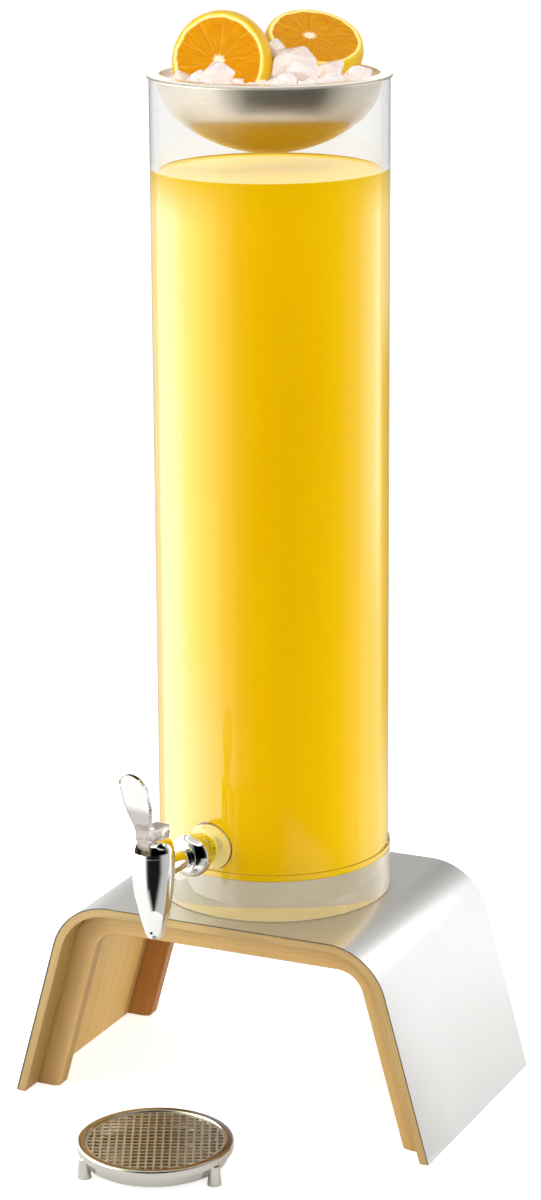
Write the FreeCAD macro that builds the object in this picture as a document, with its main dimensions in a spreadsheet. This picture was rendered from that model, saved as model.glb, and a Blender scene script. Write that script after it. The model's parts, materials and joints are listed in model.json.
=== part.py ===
import FreeCAD, Part
import math
import os
from types import SimpleNamespace

import Sketcher
from FreeCAD import Placement, Rotation, Vector

# Juice dispenser: a clear tube with an ice bowl in its mouth and a tap at its foot,
# on a stand of bent ply, with a round drip tray in front.
# Millimetres, +Z up, the tray and the tap are on the -Y side.
# The origin is on the table, in the middle of the whole footprint.

SIZES = {
    # Stand
    "stand_width": 315.4,  # over the feet, on the table
    "stand_depth": 188.0,  # front edge to rear edge
    "stand_height": 147.5,  # table to the top of the skin
    "leg_splay": 15.67,  # degrees that a leg leans out
    "bend_radius": 44.5,  # outside of the bend
    "skin_thickness": 0.8,  # metal laminate
    "skin_foot_gap": 0.5,  # table to the skin's lower edge
    "ply_thickness": 5.9,  # bent bamboo ply
    "rib_width": 18.2,  # depth of a rib below the ply
    "rib_thickness": 10.0,  # rib, front to rear
    "rib_inset": 17.7,  # from the ply's edge to the rib
    "rib_corner": 3.0,  # rounding of a rib's foot
    # Tank
    "tank_set_back": 2.8,  # tank axis in front of the stand's middle, negative side
    "tube_outside": 160.0,  # tube diameter
    "tube_wall": 5.0,  # tube wall
    "tube_length": 539.0,  # tube, end to end
    "base_height": 33.3,  # clear base block
    "base_overhang": 1.4,  # base block beyond the tube
    "base_seat": 6.0,  # depth of the tube's seat in the block
    "base_chamfer": 1.0,  # edge of the base block
    "glue_gap": 0.05,  # tube to seat, all round
    # Bowl
    "bowl_depth": 52.0,  # rim to the bottom
    "bowl_sheet": 1.2,  # spun steel sheet
    "bowl_clearance": 0.5,  # bowl to the tube's bore
    "bowl_rim_overhang": 1.5,  # rim beyond the tube
    "bowl_shoulder": 40.0,  # curve of the bowl's side
    "bowl_lip": 3.0,  # height of the turned-down rim
    "ice_level": 12.0,  # level of the packed ice below the rim
    "ice_clearance": 0.2,  # ice to the sheet and to the fruit
    "ice_lump": 30.0,  # edge of the largest lump
    "ice_melt": 5.0,  # corners knocked off the lumps
    "ice_reach": 60.0,  # rim up to the highest that a lump may come
    "orange_radius": 32.0,  # cut face
    "orange_bulge": 1.8,  # widest part of a half beyond its cut face
    "orange_waist": 8.0,  # cut face down to the widest part
    "orange_dome": 31.0,  # height of a half
    "orange_edge": 0.8,  # rounding of the cut edge
    # Tap
    "tap_turn": -10.0,  # degrees that the tap is turned from straight ahead
    "tap_height": 49.0,  # shank axis above the stand's top
    "tap_reach": 141.5,  # tank axis to the tap's own axis
    "tap_body_radius": 14.5,  # widest part of the tap
    "tap_taper_radius": 150.0,  # curve of the tapered side
    "tap_straight": 5.5,  # straight side above the shank axis
    "tap_seam": 13.9,  # shank axis to the joint with the cap
    "tap_drop": 45.5,  # shank axis to the spout's end
    "spout_bore": 4.6,  # radius of the outlet
    "spout_edge": 0.8,  # rounding of the spout's end
    "seat_drop": 20.8,  # shank axis to the valve seat
    "chamber_radius": 9.8,  # valve chamber
    "vent_radius": 1.1,  # air vent near the spout
    "vent_turn": 21.0,  # degrees from the tap's front to the vent
    "vent_height": 5.0,  # spout's end to the vent
    "shank_radius": 7.0,  # pipe through the wall
    "shank_seat": 10.5,  # tap's axis to the pipe's front end
    "shank_bore": 4.4,  # bore of the pipe
    "shank_end": 59.0,  # tank axis to the pipe's inner end
    "shank_clearance": 0.15,  # pipe to what it passes through
    "cap_spigot_radius": 11.6,  # cap's spigot inside the body
    "cap_spigot": 7.0,  # length of the spigot
    "cap_fit": 0.1,  # spigot to the body
    "cap_wall": 1.5,  # wall of the hollow spigot
    "cap_height": 11.1,  # joint to the top of the cap
    "cap_top_radius": 7.6,  # flat top of the cap
    "cap_curve": 9.0,  # curve of the cap's rounded edge
    "cap_shoulder": 3.0,  # joint to the start of the rounded top
    "cap_floor": 2.4,  # joint to the floor of the lever's slot
    "cap_diaphragm": 4.4,  # thickness under the slot
    # Wall fitting
    "boss_radius": 15.0,  # clear boss on the tube
    "boss_neck": 11.0,  # radius of the boss's neck
    "boss_foot": 3.5,  # thickness of the boss's foot at the tube
    "boss_length": 14.6,  # tube to the boss's front
    "washer_thickness": 1.4,  # silicone washer
    "flange_radius": 15.0,  # domed chrome flange
    "flange_band": 3.8,  # straight edge of the flange
    "flange_length": 11.2,  # flange, front to rear
    "flange_nose": 9.5,  # radius of the flange's nose
    "flange_curve": 9.6,  # curve of the flange's dome
    "gasket_radius": 15.0,  # inner gasket
    "gasket_body": 1.6,  # inner gasket where it is thinnest
    "nut_flange_radius": 16.5,  # nut's flange
    "nut_flange": 3.0,  # thickness of the nut's flange
    "nut_radius": 9.5,  # nut's hub
    "nut_hub": 7.0,  # length of the nut's hub
    # Valve and lever
    "pivot_out": 6.3,  # lever's pivot in front of the tap's axis
    "pivot_rise": 8.1,  # joint with the cap to the pivot
    "pivot_radius": 2.5,  # pivot pin
    "pivot_half": 9.5,  # half the pivot pin's length
    "running_gap": 0.08,  # pin to the lever
    "stem_radius": 1.8,  # valve stem
    "stem_guide": 0.3,  # stem to its guide
    "stem_foot_radius": 3.2,  # stem's foot, held in the cup
    "stem_foot_rise": 4.0,  # cup's underside up to the stem's foot
    "stem_tab": 1.0,  # half the thickness of the tab at the stem's top
    "stem_tab_width": 1.5,  # half the tab's width
    "stem_tab_rise": 2.6,  # pivot height to the tab's top
    "stem_shoulder": 5.9,  # pivot height down to the tab's foot
    "stem_pin_radius": 0.8,  # cross pin
    "stem_pin_half": 4.4,  # half the cross pin's length
    "cup_radius": 8.2,  # silicone seat cup
    "cup_top_radius": 6.2,  # seat cup where its taper ends
    "cup_height": 12.0,  # seat cup
    "cup_band": 3.0,  # straight edge of the seat cup
    "cup_lift_gap": 0.2,  # seat cup to the seat
    "spring_radius": 4.6,  # middle of the spring's wire
    "spring_wire": 0.5,  # radius of the spring's wire
    "spring_turns": 6.0,  # turns
    "spring_gap": 0.1,  # spring to what it presses on
    "lever_hub_low": 7.6,  # width of the hub's lower edge
    "lever_hub": 11.0,  # width of the lever's hub
    "lever_side_gap": 0.3,  # hub to the cap's slot, each side
    "lever_knuckle": 5.0,  # radius of the knuckle round the pivot
    "lever_tail": 11.6,  # hub behind the tap's axis
    "lever_tail_low": 1.8,  # pivot height down to the hub's underside
    "lever_tail_high": 9.6,  # pivot height up to the hub's top
    "lever_neck": 9.6,  # hub's top up to the straight blade
    "lever_rear_curve": 15.0,  # curve from the hub into the blade, behind
    "lever_front_curve": 45.0,  # curve from the knuckle into the blade, in front
    "lever_flare": 20.0,  # hub's top up to the paddle's full width
    "lever_paddle": 21.0,  # width of the paddle
    "lever_rise": 53.8,  # pivot height up to the paddle's top
    "lever_lean": 18.0,  # degrees that the paddle leans out
    "lever_blade": 3.2,  # thickness of the paddle
    "lever_slot": 4.6,  # width of the slot for the stem
    "lever_slot_front": 3.0,  # slot in front of the tap's axis
    "lever_slot_rear": 5.0,  # slot behind the tap's axis
    "lever_slot_top": 6.2,  # pivot height up to the slot's end
    "pin_play": 0.5,  # travel of the cross pin in the hub
    "lever_edge": 0.7,  # rounding of the paddle
    # Drip tray
    "tray_reach": 166.7,  # stand's middle to the tray's middle
    "tray_side": -11.0,  # tray's middle off the centre line
    "tray_turn": 24.7,  # degrees that the tray is turned
    "ring_radius": 52.8,  # outside of the ring
    "ring_height": 19.0,  # table to the top of the ring
    "ring_skirt": 5.8,  # height of the ring's outer face
    "ring_sheet": 1.7,  # ring's outer wall
    "ring_round": 1.5,  # rounded outer edge
    "ring_bevel": 0.75,  # inner edge
    "ring_bore": 47.4,  # ring's inner edge
    "ring_ledge": 1.9,  # ledge that carries the grille
    "ring_ledge_drop": 2.2,  # top of the ring to the ledge
    "ring_web": 1.1,  # thickness of the ledge
    "cup_floor_height": 5.5,  # table to the cup
    "cup_foot_radius": 48.3,  # cup at its bottom
    "cup_wall": 0.9,  # cup's sheet
    "cup_corner": 2.5,  # cup's bottom edge
    "ring_fit": 0.1,  # ring to the cup
    "grille_thickness": 1.0,  # grille sheet
    "grille_gap": 0.3,  # grille to the ring
    "grille_pitch": 5.2,  # grille, hole to hole
    "grille_hole": 3.7,  # side of a hole
    "grille_border": 1.3,  # plain edge of the grille
    "grille_least_hole": 0.3,  # smallest part of a hole that is still cut
    "foot_top": 3.4,  # radius of a foot under the ring
    "foot_bottom": 4.9,  # radius of a foot on the table
    "foot_circle": 50.8,  # radius that the feet stand on
    "foot_turn": -38.0,  # degrees from the tray's own X to the first foot
    # Drawing
    "round_slack": 1.001,  # radius of a full rounding over its half width
}

FEET = 3
ORANGES = {
    # centre of the cut face from the tank's axis and the bowl's rim, and the way the face looks
    "orange_half_front": ((-26.6, -22.5, 7.7), (0.15, -0.98, 0.14)),
    "orange_half_rear": ((19.2, 31.4, 20.3), (0.33, -0.36, 0.87)),
}
LUMPS = [
    # centre of a lump from the tank's axis and the rim, its share of the largest, its turn
    ((21.0, 0.0, 4.5), 1.0, (25, 30, 10)),
    ((3.0, 8.0, 17.0), 0.5, (50, 15, 35)),
    ((44.0, 12.0, -2.0), 0.74, (10, 35, 20)),
    ((-16.0, -51.0, 0.0), 0.7, (70, 25, 15)),
    ((-30.0, -44.0, -5.0), 0.55, (35, 20, 40)),
    ((60.0, 18.0, -5.0), 0.57, (15, 40, 30)),
    ((20.0, -36.0, -8.0), 0.67, (60, 35, 10)),
    ((48.0, -16.0, -8.0), 0.64, (40, 10, 30)),
    ((-57.0, 10.0, -6.0), 0.62, (20, 25, 45)),
    ((-30.0, 38.0, -6.0), 0.8, (55, 30, 20)),
    ((34.0, 50.0, -9.0), 0.6, (5, 15, 50)),
]


class Size:
    """A length with its number and the expression that ties it to the sheet."""

    def __init__(self, number, text):
        self.number = float(number)
        self.text = text

    def __add__(self, other):
        other = as_size(other)
        return Size(self.number + other.number, f"({self.text} + {other.text})")

    def __sub__(self, other):
        other = as_size(other)
        return Size(self.number - other.number, f"({self.text} - {other.text})")

    def __mul__(self, other):
        other = as_size(other)
        return Size(self.number * other.number, f"({self.text} * {other.text})")

    def __truediv__(self, other):
        other = as_size(other)
        return Size(self.number / other.number, f"({self.text} / {other.text})")

    def __rsub__(self, other):
        return as_size(other) - self

    def __neg__(self):
        return Size(-self.number, f"(-1 * {self.text})")

    __radd__ = __add__
    __rmul__ = __mul__


def as_size(thing):
    return thing if isinstance(thing, Size) else Size(thing, repr(float(thing)))


def sin_of(angle):
    return Size(math.sin(math.radians(angle.number)), f"sin({angle.text})")


def cos_of(angle):
    return Size(math.cos(math.radians(angle.number)), f"cos({angle.text})")


def root_of(square):
    return Size(math.sqrt(square.number), f"sqrt({square.text})")


ZERO = Size(0, "0")

doc = FreeCAD.newDocument("JuiceDispenser")
sheet = doc.addObject("Spreadsheet::Sheet", "dims")
d = SimpleNamespace()
for row, (alias, number) in enumerate(SIZES.items(), 1):
    sheet.set(f"A{row}", alias)
    sheet.set(f"B{row}", str(number))
    sheet.setAlias(f"B{row}", alias)
    setattr(d, alias, Size(number, f"dims.{alias}"))
doc.recompute()

# Places that more than one piece uses
stand_y = (d.tray_reach + d.ring_radius - d.stand_depth / 2) / 2
tank_y = stand_y + d.tank_set_back
tube_radius = d.tube_outside / 2
tube_bore = tube_radius - d.tube_wall
tube_foot = d.stand_height + d.base_height - d.base_seat
tube_top = tube_foot + d.tube_length
rim_top = tube_top + d.bowl_sheet
base_radius = tube_radius + d.base_overhang
bowl_radius = tube_bore - d.bowl_clearance
shank_z = d.stand_height + d.tap_height
seam_z = shank_z + d.tap_seam
spout_z = shank_z - d.tap_drop
seat_z = shank_z - d.seat_drop
pivot_z = seam_z + d.pivot_rise
slot_floor_z = seam_z + d.cap_floor
diaphragm_z = slot_floor_z - d.cap_diaphragm
sleeve = d.shank_radius + d.shank_clearance
boss_front = tube_radius + d.boss_length
flange_rear = boss_front + d.washer_thickness
flange_front = flange_rear + d.flange_length
gasket_face = root_of(tube_bore * tube_bore - d.gasket_radius * d.gasket_radius) - d.gasket_body
tap_x = sin_of(d.tap_turn) * d.tap_reach
tap_y = tank_y - cos_of(d.tap_turn) * d.tap_reach
tray_y = stand_y - d.tray_reach
ledge_z = d.ring_height - d.ring_ledge_drop
skirt_z = d.ring_height - d.ring_skirt
cup_rim = d.ring_radius - d.ring_sheet - d.ring_fit
cup_top = ledge_z - d.ring_web - d.ring_fit


def bind(thing, name, size):
    """Set a property from a size and tie it to the sheet."""
    thing.setExpression(name, as_size(size).text)


def place(thing, x=None, y=None, z=None, turn=None):
    """Move a body by sizes and turn it about the vertical."""
    for axis, size in (("x", x), ("y", y), ("z", z)):
        if size is not None:
            bind(thing, f"Placement.Base.{axis}", size)
    if turn is not None:
        thing.Placement = Placement(thing.Placement.Base, Rotation(Vector(0, 0, 1), 1))
        bind(thing, "Placement.Rotation.Angle", turn)


def new_body(label, **where):
    body = doc.addObject("PartDesign::Body", label)
    body.Label = label
    place(body, **where)
    return body


def origin_plane(body, role):
    return next(part for part in body.Origin.OriginFeatures if part.Role == role)


def new_sketch(body, role, name, lift=None):
    sketch = body.newObject("Sketcher::SketchObject", name)
    sketch.AttachmentSupport = (origin_plane(body, role), [""])
    sketch.MapMode = "FlatFace"
    if lift is not None:
        bind(sketch, "AttachmentOffset.Base.z", lift)
    return sketch


def constrain_point(sketch, edge, end, x, y):
    """Tie one sketch point to its two sizes."""
    for kind, size, axis in (("DistanceX", x, -2), ("DistanceY", y, -1)):
        size = as_size(size)
        if size.text == ZERO.text:
            sketch.addConstraint(Sketcher.Constraint("PointOnObject", edge, end, axis))
        else:
            index = sketch.addConstraint(Sketcher.Constraint(kind, edge, end, size.number))
            sketch.setExpression(f"Constraints[{index}]", size.text)


def shallow_arc(here, there, radius, side):
    """The short arc between two points, on the left of the way there for side 1, drawn anticlockwise."""
    along = there - here
    half = along.Length / 2
    rise = radius - math.sqrt(max(radius * radius - half * half, 0))
    middle = (here + there) * 0.5 + Vector(-along.y, along.x, 0) * (rise * side / along.Length)
    return Part.Arc(there, middle, here) if side > 0 else Part.Arc(here, middle, there)


def outline(body, role, name, corners, lift=None):
    """A closed sketch through corners (x, y), where (x, y, radius, side) starts an arc."""
    sketch = new_sketch(body, role, name, lift)
    points = [Vector(as_size(c[0]).number, as_size(c[1]).number, 0) for c in corners]
    ends = []
    for index, corner in enumerate(corners):
        here, there = points[index], points[(index + 1) % len(points)]
        if len(corner) == 4:
            sketch.addGeometry(shallow_arc(here, there, as_size(corner[2]).number, corner[3]))
        else:
            sketch.addGeometry(Part.LineSegment(here, there))
        ends.append((2, 1) if len(corner) == 4 and corner[3] > 0 else (1, 2))
    for index, corner in enumerate(corners):
        following = (index + 1) % len(corners)
        sketch.addConstraint(
            Sketcher.Constraint("Coincident", index, ends[index][1], following, ends[following][0])
        )
    for index, corner in enumerate(corners):
        constrain_point(sketch, index, ends[index][0], corner[0], corner[1])
        if len(corner) == 4:
            radius = as_size(corner[2])
            constraint = sketch.addConstraint(Sketcher.Constraint("Radius", index, radius.number))
            sketch.setExpression(f"Constraints[{constraint}]", radius.text)
    return sketch


def disc(body, role, name, circles, lift=None):
    """A sketch of circles, each (x, y, radius)."""
    sketch = new_sketch(body, role, name, lift)
    for index, (x, y, radius) in enumerate(circles):
        centre = Vector(as_size(x).number, as_size(y).number, 0)
        radius = as_size(radius)
        sketch.addGeometry(Part.Circle(centre, Vector(0, 0, 1), radius.number))
        if as_size(x).text == ZERO.text and as_size(y).text == ZERO.text:
            sketch.addConstraint(Sketcher.Constraint("Coincident", index, 3, -1, 1))
        else:
            constrain_point(sketch, index, 3, x, y)
        constraint = sketch.addConstraint(Sketcher.Constraint("Radius", index, radius.number))
        sketch.setExpression(f"Constraints[{constraint}]", radius.text)
    return sketch


def rectangle(body, role, name, x0, y0, x1, y1, lift=None):
    return outline(body, role, name, [(x0, y0), (x1, y0), (x1, y1), (x0, y1)], lift)


def solid_volume(body):
    return body.Shape.Volume if not body.Shape.isNull() else 0.0


def add_feature(body, kind, name, sketch, **settings):
    """Add a sketch-based feature and check that it changed the body."""
    before = solid_volume(body)
    feature = body.newObject(f"PartDesign::{kind}", name)
    feature.Profile = sketch
    for key, setting in settings.items():
        if isinstance(setting, Size):
            bind(feature, key, setting)
        else:
            setattr(feature, key, setting)
    doc.recompute()
    if abs(solid_volume(body) - before) < 1e-3:
        raise RuntimeError(f"{name} of {body.Label} changes nothing")
    return feature


def revolve(body, name, sketch, axis="V_Axis"):
    return add_feature(body, "Revolution", name, sketch, ReferenceAxis=(sketch, [axis]), Angle=360.0)


def groove(body, name, sketch, axis="V_Axis"):
    return add_feature(body, "Groove", name, sketch, ReferenceAxis=(sketch, [axis]), Angle=360.0)


def pad(body, name, sketch, length, **settings):
    return add_feature(body, "Pad", name, sketch, Length=length, **settings)


def pocket(body, name, sketch, length, **settings):
    return add_feature(body, "Pocket", name, sketch, Length=length, **settings)


def round_edges(body, radius, chosen, name="rounding"):
    """Round the edges of the body's tip that the test picks."""
    tip = body.Tip
    edges = [f"Edge{i + 1}" for i, edge in enumerate(tip.Shape.Edges) if chosen(edge)]
    if not edges:
        raise RuntimeError(f"{body.Label} has no edge to round")
    fillet = body.newObject("PartDesign::Fillet", name)
    fillet.Base = (tip, edges)
    bind(fillet, "Radius", radius)
    doc.recompute()
    return fillet


def upright_cylinder(label, radius, height, x=None, y=None, z=None):
    cylinder = doc.addObject("Part::Cylinder", label)
    bind(cylinder, "Radius", radius)
    bind(cylinder, "Height", height)
    place(cylinder, x=x, y=y, z=z)
    return cylinder


def cut(label, base, tool):
    result = doc.addObject("Part::Cut", label)
    result.Label = label
    result.Base, result.Tool = base, tool
    doc.recompute()
    return result


def bent_profile(outer, inner, foot_z=ZERO):
    """Corners of a band that follows the bent stand between two depths below its outside."""
    lean_sin, lean_cos = sin_of(d.leg_splay), cos_of(d.leg_splay)
    centre_z = d.stand_height - d.bend_radius
    centre_x = d.stand_width / 2 - (d.bend_radius + centre_z * lean_sin) / lean_cos
    corners = []
    for depth, direction in ((outer, 1), (inner, -1)):
        radius = d.bend_radius - depth
        foot = d.stand_width / 2 - (depth + foot_z * lean_sin) / lean_cos
        turn_x = centre_x + radius * lean_cos
        turn_z = centre_z + radius * lean_sin
        top = centre_z + radius
        run = [
            (-foot, foot_z),
            (-turn_x, turn_z, radius, 1),
            (-centre_x, top),
            (centre_x, top, radius, 1),
            (turn_x, turn_z),
            (foot, foot_z),
        ]
        if direction < 0:
            run = [
                (foot, foot_z),
                (turn_x, turn_z, radius, -1),
                (centre_x, top),
                (-centre_x, top, radius, -1),
                (-turn_x, turn_z),
                (-foot, foot_z),
            ]
        corners += run
    return corners


def make_stand():
    """The bent ply, its metal skin and the two ribs under it."""
    skin = new_body("stand_skin", y=stand_y)
    corners = bent_profile(ZERO, d.skin_thickness, d.skin_foot_gap)
    band = outline(skin, "XZ_Plane", "skin_profile", corners)
    pad(skin, "skin_sheet", band, d.stand_depth, Midplane=True)
    ply_inside = d.skin_thickness + d.ply_thickness
    shell = new_body("stand_shell", y=stand_y)
    band = outline(shell, "XZ_Plane", "shell_profile", bent_profile(d.skin_thickness, ply_inside))
    pad(shell, "bent_ply", band, d.stand_depth, Midplane=True)
    middle = d.stand_depth / 2 - d.rib_inset - d.rib_thickness / 2
    rib_inside = ply_inside + d.rib_width
    inner_foot = d.stand_width / 2 - rib_inside / cos_of(d.leg_splay)
    for label, offset in (("rib_front", -middle), ("rib_rear", middle)):
        rib = new_body(label, y=stand_y + offset)
        band = outline(rib, "XZ_Plane", "rib_profile", bent_profile(ply_inside, rib_inside))
        pad(rib, "rib_plate", band, d.rib_thickness, Midplane=True)

        def is_inner_foot(edge):
            middle_point = edge.CenterOfMass
            near = abs(abs(middle_point.x) - inner_foot.number) < 0.5
            return abs(middle_point.z) < 1e-3 and near

        round_edges(rib, d.rib_corner, is_inner_foot, "foot_rounding")


def make_tank():
    """The clear tube, the block it stands in and the boss that carries the tap."""
    hole = d.shank_radius + d.shank_clearance
    base = new_body("tank_base", y=tank_y, z=d.stand_height)
    seat_radius = tube_radius + d.glue_gap
    seat_floor = d.base_height - d.base_seat
    block = outline(
        base,
        "XZ_Plane",
        "block_profile",
        [
            (ZERO, ZERO),
            (base_radius - d.base_chamfer, ZERO),
            (base_radius, d.base_chamfer),
            (base_radius, d.base_height),
            (seat_radius, d.base_height),
            (seat_radius, seat_floor),
            (ZERO, seat_floor),
        ],
    )
    revolve(base, "block", block)

    tube = new_body("tank_tube", y=tank_y, z=tube_foot, turn=d.tap_turn)
    ring = disc(tube, "XY_Plane", "ring", [(ZERO, ZERO, tube_radius), (ZERO, ZERO, tube_bore)])
    pad(tube, "wall", ring, d.tube_length)
    tap_hole = disc(tube, "XZ_Plane", "tap_hole", [(ZERO, shank_z - tube_foot, hole)])
    pocket(tube, "tap_hole_cut", tap_hole, tube_radius + d.tube_wall, Reversed=True)

    boss = new_body("tap_boss", y=tank_y, z=shank_z, turn=d.tap_turn)
    foot_front = tube_radius + d.boss_foot
    root = root_of(tube_radius * tube_radius - d.boss_radius * d.boss_radius)
    profile = outline(
        boss,
        "YZ_Plane",
        "boss_profile",
        [
            (-root, sleeve),
            (-root, d.boss_radius),
            (-foot_front, d.boss_radius),
            (-foot_front, d.boss_neck),
            (-boss_front, d.boss_neck),
            (-boss_front, sleeve),
        ],
    )
    revolve(boss, "turned_boss", profile, "H_Axis")
    wall = disc(boss, "XY_Plane", "tube_outside", [(ZERO, ZERO, tube_radius)], lift=-d.boss_radius)
    pocket(boss, "saddle", wall, d.boss_radius * 2, Reversed=True)


def horizontal_ring(label, corners):
    """A piece that is turned about the shank's axis, from corners (reach, radius)."""
    piece = new_body(label, y=tank_y, z=shank_z, turn=d.tap_turn)
    profile = outline(piece, "YZ_Plane", "profile", [(-c[0],) + tuple(c[1:]) for c in corners])
    revolve(piece, "turning", profile, "H_Axis")
    return piece


def make_wall_fitting():
    """Washers, flange and nut that clamp the tap's shank in the tank's wall."""
    horizontal_ring(
        "shank_washer",
        [
            (boss_front, sleeve),
            (flange_rear, sleeve),
            (flange_rear, d.boss_neck),
            (boss_front, d.boss_neck),
        ],
    )
    horizontal_ring(
        "tap_flange",
        [
            (flange_rear, sleeve),
            (flange_front, sleeve),
            (flange_front, d.flange_nose, d.flange_curve, 1),
            (flange_rear + d.flange_band, d.flange_radius),
            (flange_rear, d.flange_radius),
        ],
    )
    gasket = horizontal_ring(
        "inner_gasket",
        [
            (gasket_face, sleeve),
            (tube_bore, sleeve),
            (tube_bore, d.gasket_radius),
            (gasket_face, d.gasket_radius),
        ],
    )
    outside = disc(
        gasket,
        "XY_Plane",
        "tube_bore",
        [(ZERO, ZERO, tube_bore), (ZERO, ZERO, tube_radius)],
        lift=-d.gasket_radius,
    )
    pocket(gasket, "saddle", outside, d.gasket_radius * 2, Reversed=True)
    hub_front = gasket_face - d.nut_flange
    horizontal_ring(
        "shank_nut",
        [
            (gasket_face, sleeve),
            (gasket_face, d.nut_flange_radius),
            (hub_front, d.nut_flange_radius),
            (hub_front, d.nut_radius),
            (hub_front - d.nut_hub, d.nut_radius),
            (hub_front - d.nut_hub, sleeve),
        ],
    )


def make_tap():
    """The tap's body, its shank, and the cap that holds the lever."""
    body = new_body("tap_body", x=tap_x, y=tap_y, turn=d.tap_turn)
    straight_z = shank_z + d.tap_straight
    fall = straight_z - spout_z - d.spout_edge
    foot_radius = d.tap_body_radius - d.tap_taper_radius + root_of(
        d.tap_taper_radius * d.tap_taper_radius - fall * fall
    )
    profile = outline(
        body,
        "XZ_Plane",
        "body_profile",
        [
            (ZERO, spout_z),
            (foot_radius - d.spout_edge, spout_z),
            (foot_radius, spout_z + d.spout_edge, d.tap_taper_radius, -1),
            (d.tap_body_radius, straight_z),
            (d.tap_body_radius, seam_z),
            (ZERO, seam_z),
        ],
    )
    revolve(body, "tapered_body", profile)
    inside = outline(
        body,
        "XZ_Plane",
        "inside_profile",
        [
            (ZERO, spout_z),
            (d.spout_bore, spout_z),
            (d.spout_bore, seat_z),
            (d.chamber_radius, seat_z),
            (d.chamber_radius, seam_z - d.cap_spigot),
            (d.cap_spigot_radius, seam_z - d.cap_spigot),
            (d.cap_spigot_radius, seam_z),
            (ZERO, seam_z),
        ],
    )
    groove(body, "chamber", inside)
    bore = disc(body, "XZ_Plane", "inlet", [(ZERO, shank_z, d.shank_bore)])
    pocket(body, "inlet_hole", bore, d.tap_body_radius * 2)
    socket = [(ZERO, shank_z, d.shank_radius + d.glue_gap)]
    seat = disc(body, "XZ_Plane", "shank_socket", socket, lift=-d.shank_seat)
    pocket(body, "shank_socket_hole", seat, d.tap_body_radius)
    vent_x = sin_of(d.vent_turn) * foot_radius
    vent = disc(body, "XZ_Plane", "vent", [(vent_x, spout_z + d.vent_height, d.vent_radius)])
    pocket(body, "vent_hole", vent, d.tap_body_radius, Reversed=True)

    shank = new_body("tap_shank", x=tap_x, y=tap_y, turn=d.tap_turn)
    circles = [(ZERO, shank_z, d.shank_radius), (ZERO, shank_z, d.shank_bore)]
    ring = disc(shank, "XZ_Plane", "pipe_section", circles, lift=-d.shank_seat)
    pad(shank, "pipe", ring, d.tap_reach - d.shank_end - d.shank_seat, Reversed=True)

    cap = new_body("tap_cap", x=tap_x, y=tap_y, turn=d.tap_turn)
    spigot = d.cap_spigot_radius - d.cap_fit
    guide = d.stem_radius + d.stem_guide
    hollow = spigot - d.cap_wall
    shoulder = seam_z + d.cap_shoulder
    top = seam_z + d.cap_height
    profile = outline(
        cap,
        "XZ_Plane",
        "cap_profile",
        [
            (guide, diaphragm_z),
            (hollow, diaphragm_z),
            (hollow, seam_z - d.cap_spigot + d.cap_fit),
            (spigot, seam_z - d.cap_spigot + d.cap_fit),
            (spigot, seam_z),
            (d.tap_body_radius, seam_z),
            (d.tap_body_radius, shoulder, d.cap_curve, -1),
            (d.cap_top_radius, top),
            (guide, top),
        ],
    )
    revolve(cap, "turned_cap", profile)
    half = d.lever_hub / 2 + d.lever_side_gap
    slot = rectangle(cap, "XZ_Plane", "lever_slot", -half, slot_floor_z, half, top + d.cap_floor)
    pocket(cap, "slot", slot, d.tap_body_radius * 2, Midplane=True)
    pin = disc(cap, "YZ_Plane", "pivot_hole", [(-d.pivot_out, pivot_z, d.pivot_radius)])
    pocket(cap, "pivot_hole_cut", pin, d.tap_body_radius * 2, Midplane=True)

    pivot = new_body("pivot_pin", x=tap_x, y=tap_y, turn=d.tap_turn)
    rod = disc(pivot, "YZ_Plane", "pin_section", [(-d.pivot_out, pivot_z, d.pivot_radius)])
    pad(pivot, "pin", rod, d.pivot_half * 2, Midplane=True)


def make_lever():
    """The clear lever: a hub on the pivot that rises into a rounded paddle."""
    lever = new_body("lever_side", x=tap_x, y=tap_y, turn=d.tap_turn)
    lean = sin_of(d.lever_lean) / cos_of(d.lever_lean)
    high = pivot_z + d.lever_tail_high
    blade_foot = high + d.lever_neck
    front_foot = d.pivot_out + d.lever_knuckle + d.lever_blade
    top = pivot_z + d.lever_rise
    front_top = front_foot + (top - blade_foot) * lean
    side = outline(
        lever,
        "YZ_Plane",
        "side_profile",
        [
            (d.lever_tail, pivot_z - d.lever_tail_low),
            (d.lever_tail, high),
            (-(d.pivot_out - d.lever_blade), high, d.lever_rear_curve, 1),
            (-(front_foot - d.lever_blade), blade_foot),
            (-(front_top - d.lever_blade), top),
            (-front_top, top),
            (-front_foot, blade_foot, d.lever_front_curve, 1),
            (-(d.pivot_out + d.lever_knuckle), pivot_z, d.lever_knuckle, -1),
            (-d.pivot_out, pivot_z - d.lever_knuckle),
            (-(d.pivot_out - d.lever_knuckle), pivot_z - d.lever_tail_low),
        ],
    )
    pad(lever, "side", side, d.lever_paddle, Midplane=True)
    front = new_body("lever_front", x=tap_x, y=tap_y, turn=d.tap_turn)
    hub, hub_low, wide = d.lever_hub / 2, d.lever_hub_low / 2, d.lever_paddle / 2
    flare = high + d.lever_flare
    crown = top - wide
    low = pivot_z - d.lever_knuckle
    face = outline(
        front,
        "XZ_Plane",
        "front_profile",
        [
            (-hub_low, low),
            (-hub, pivot_z + d.lever_knuckle),
            (-hub, high),
            (-wide, flare),
            (-wide, crown, wide * d.round_slack, 1),
            (ZERO, top - d.lever_edge, wide * d.round_slack, 1),
            (wide, crown),
            (wide, flare),
            (hub, high),
            (hub, pivot_z + d.lever_knuckle),
            (hub_low, low),
        ],
    )
    pad(front, "face", face, d.tap_reach, Midplane=True)
    blade = doc.addObject("Part::Common", "lever_blade_common")
    blade.Base, blade.Tool = lever, front
    doc.recompute()
    return blade


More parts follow.
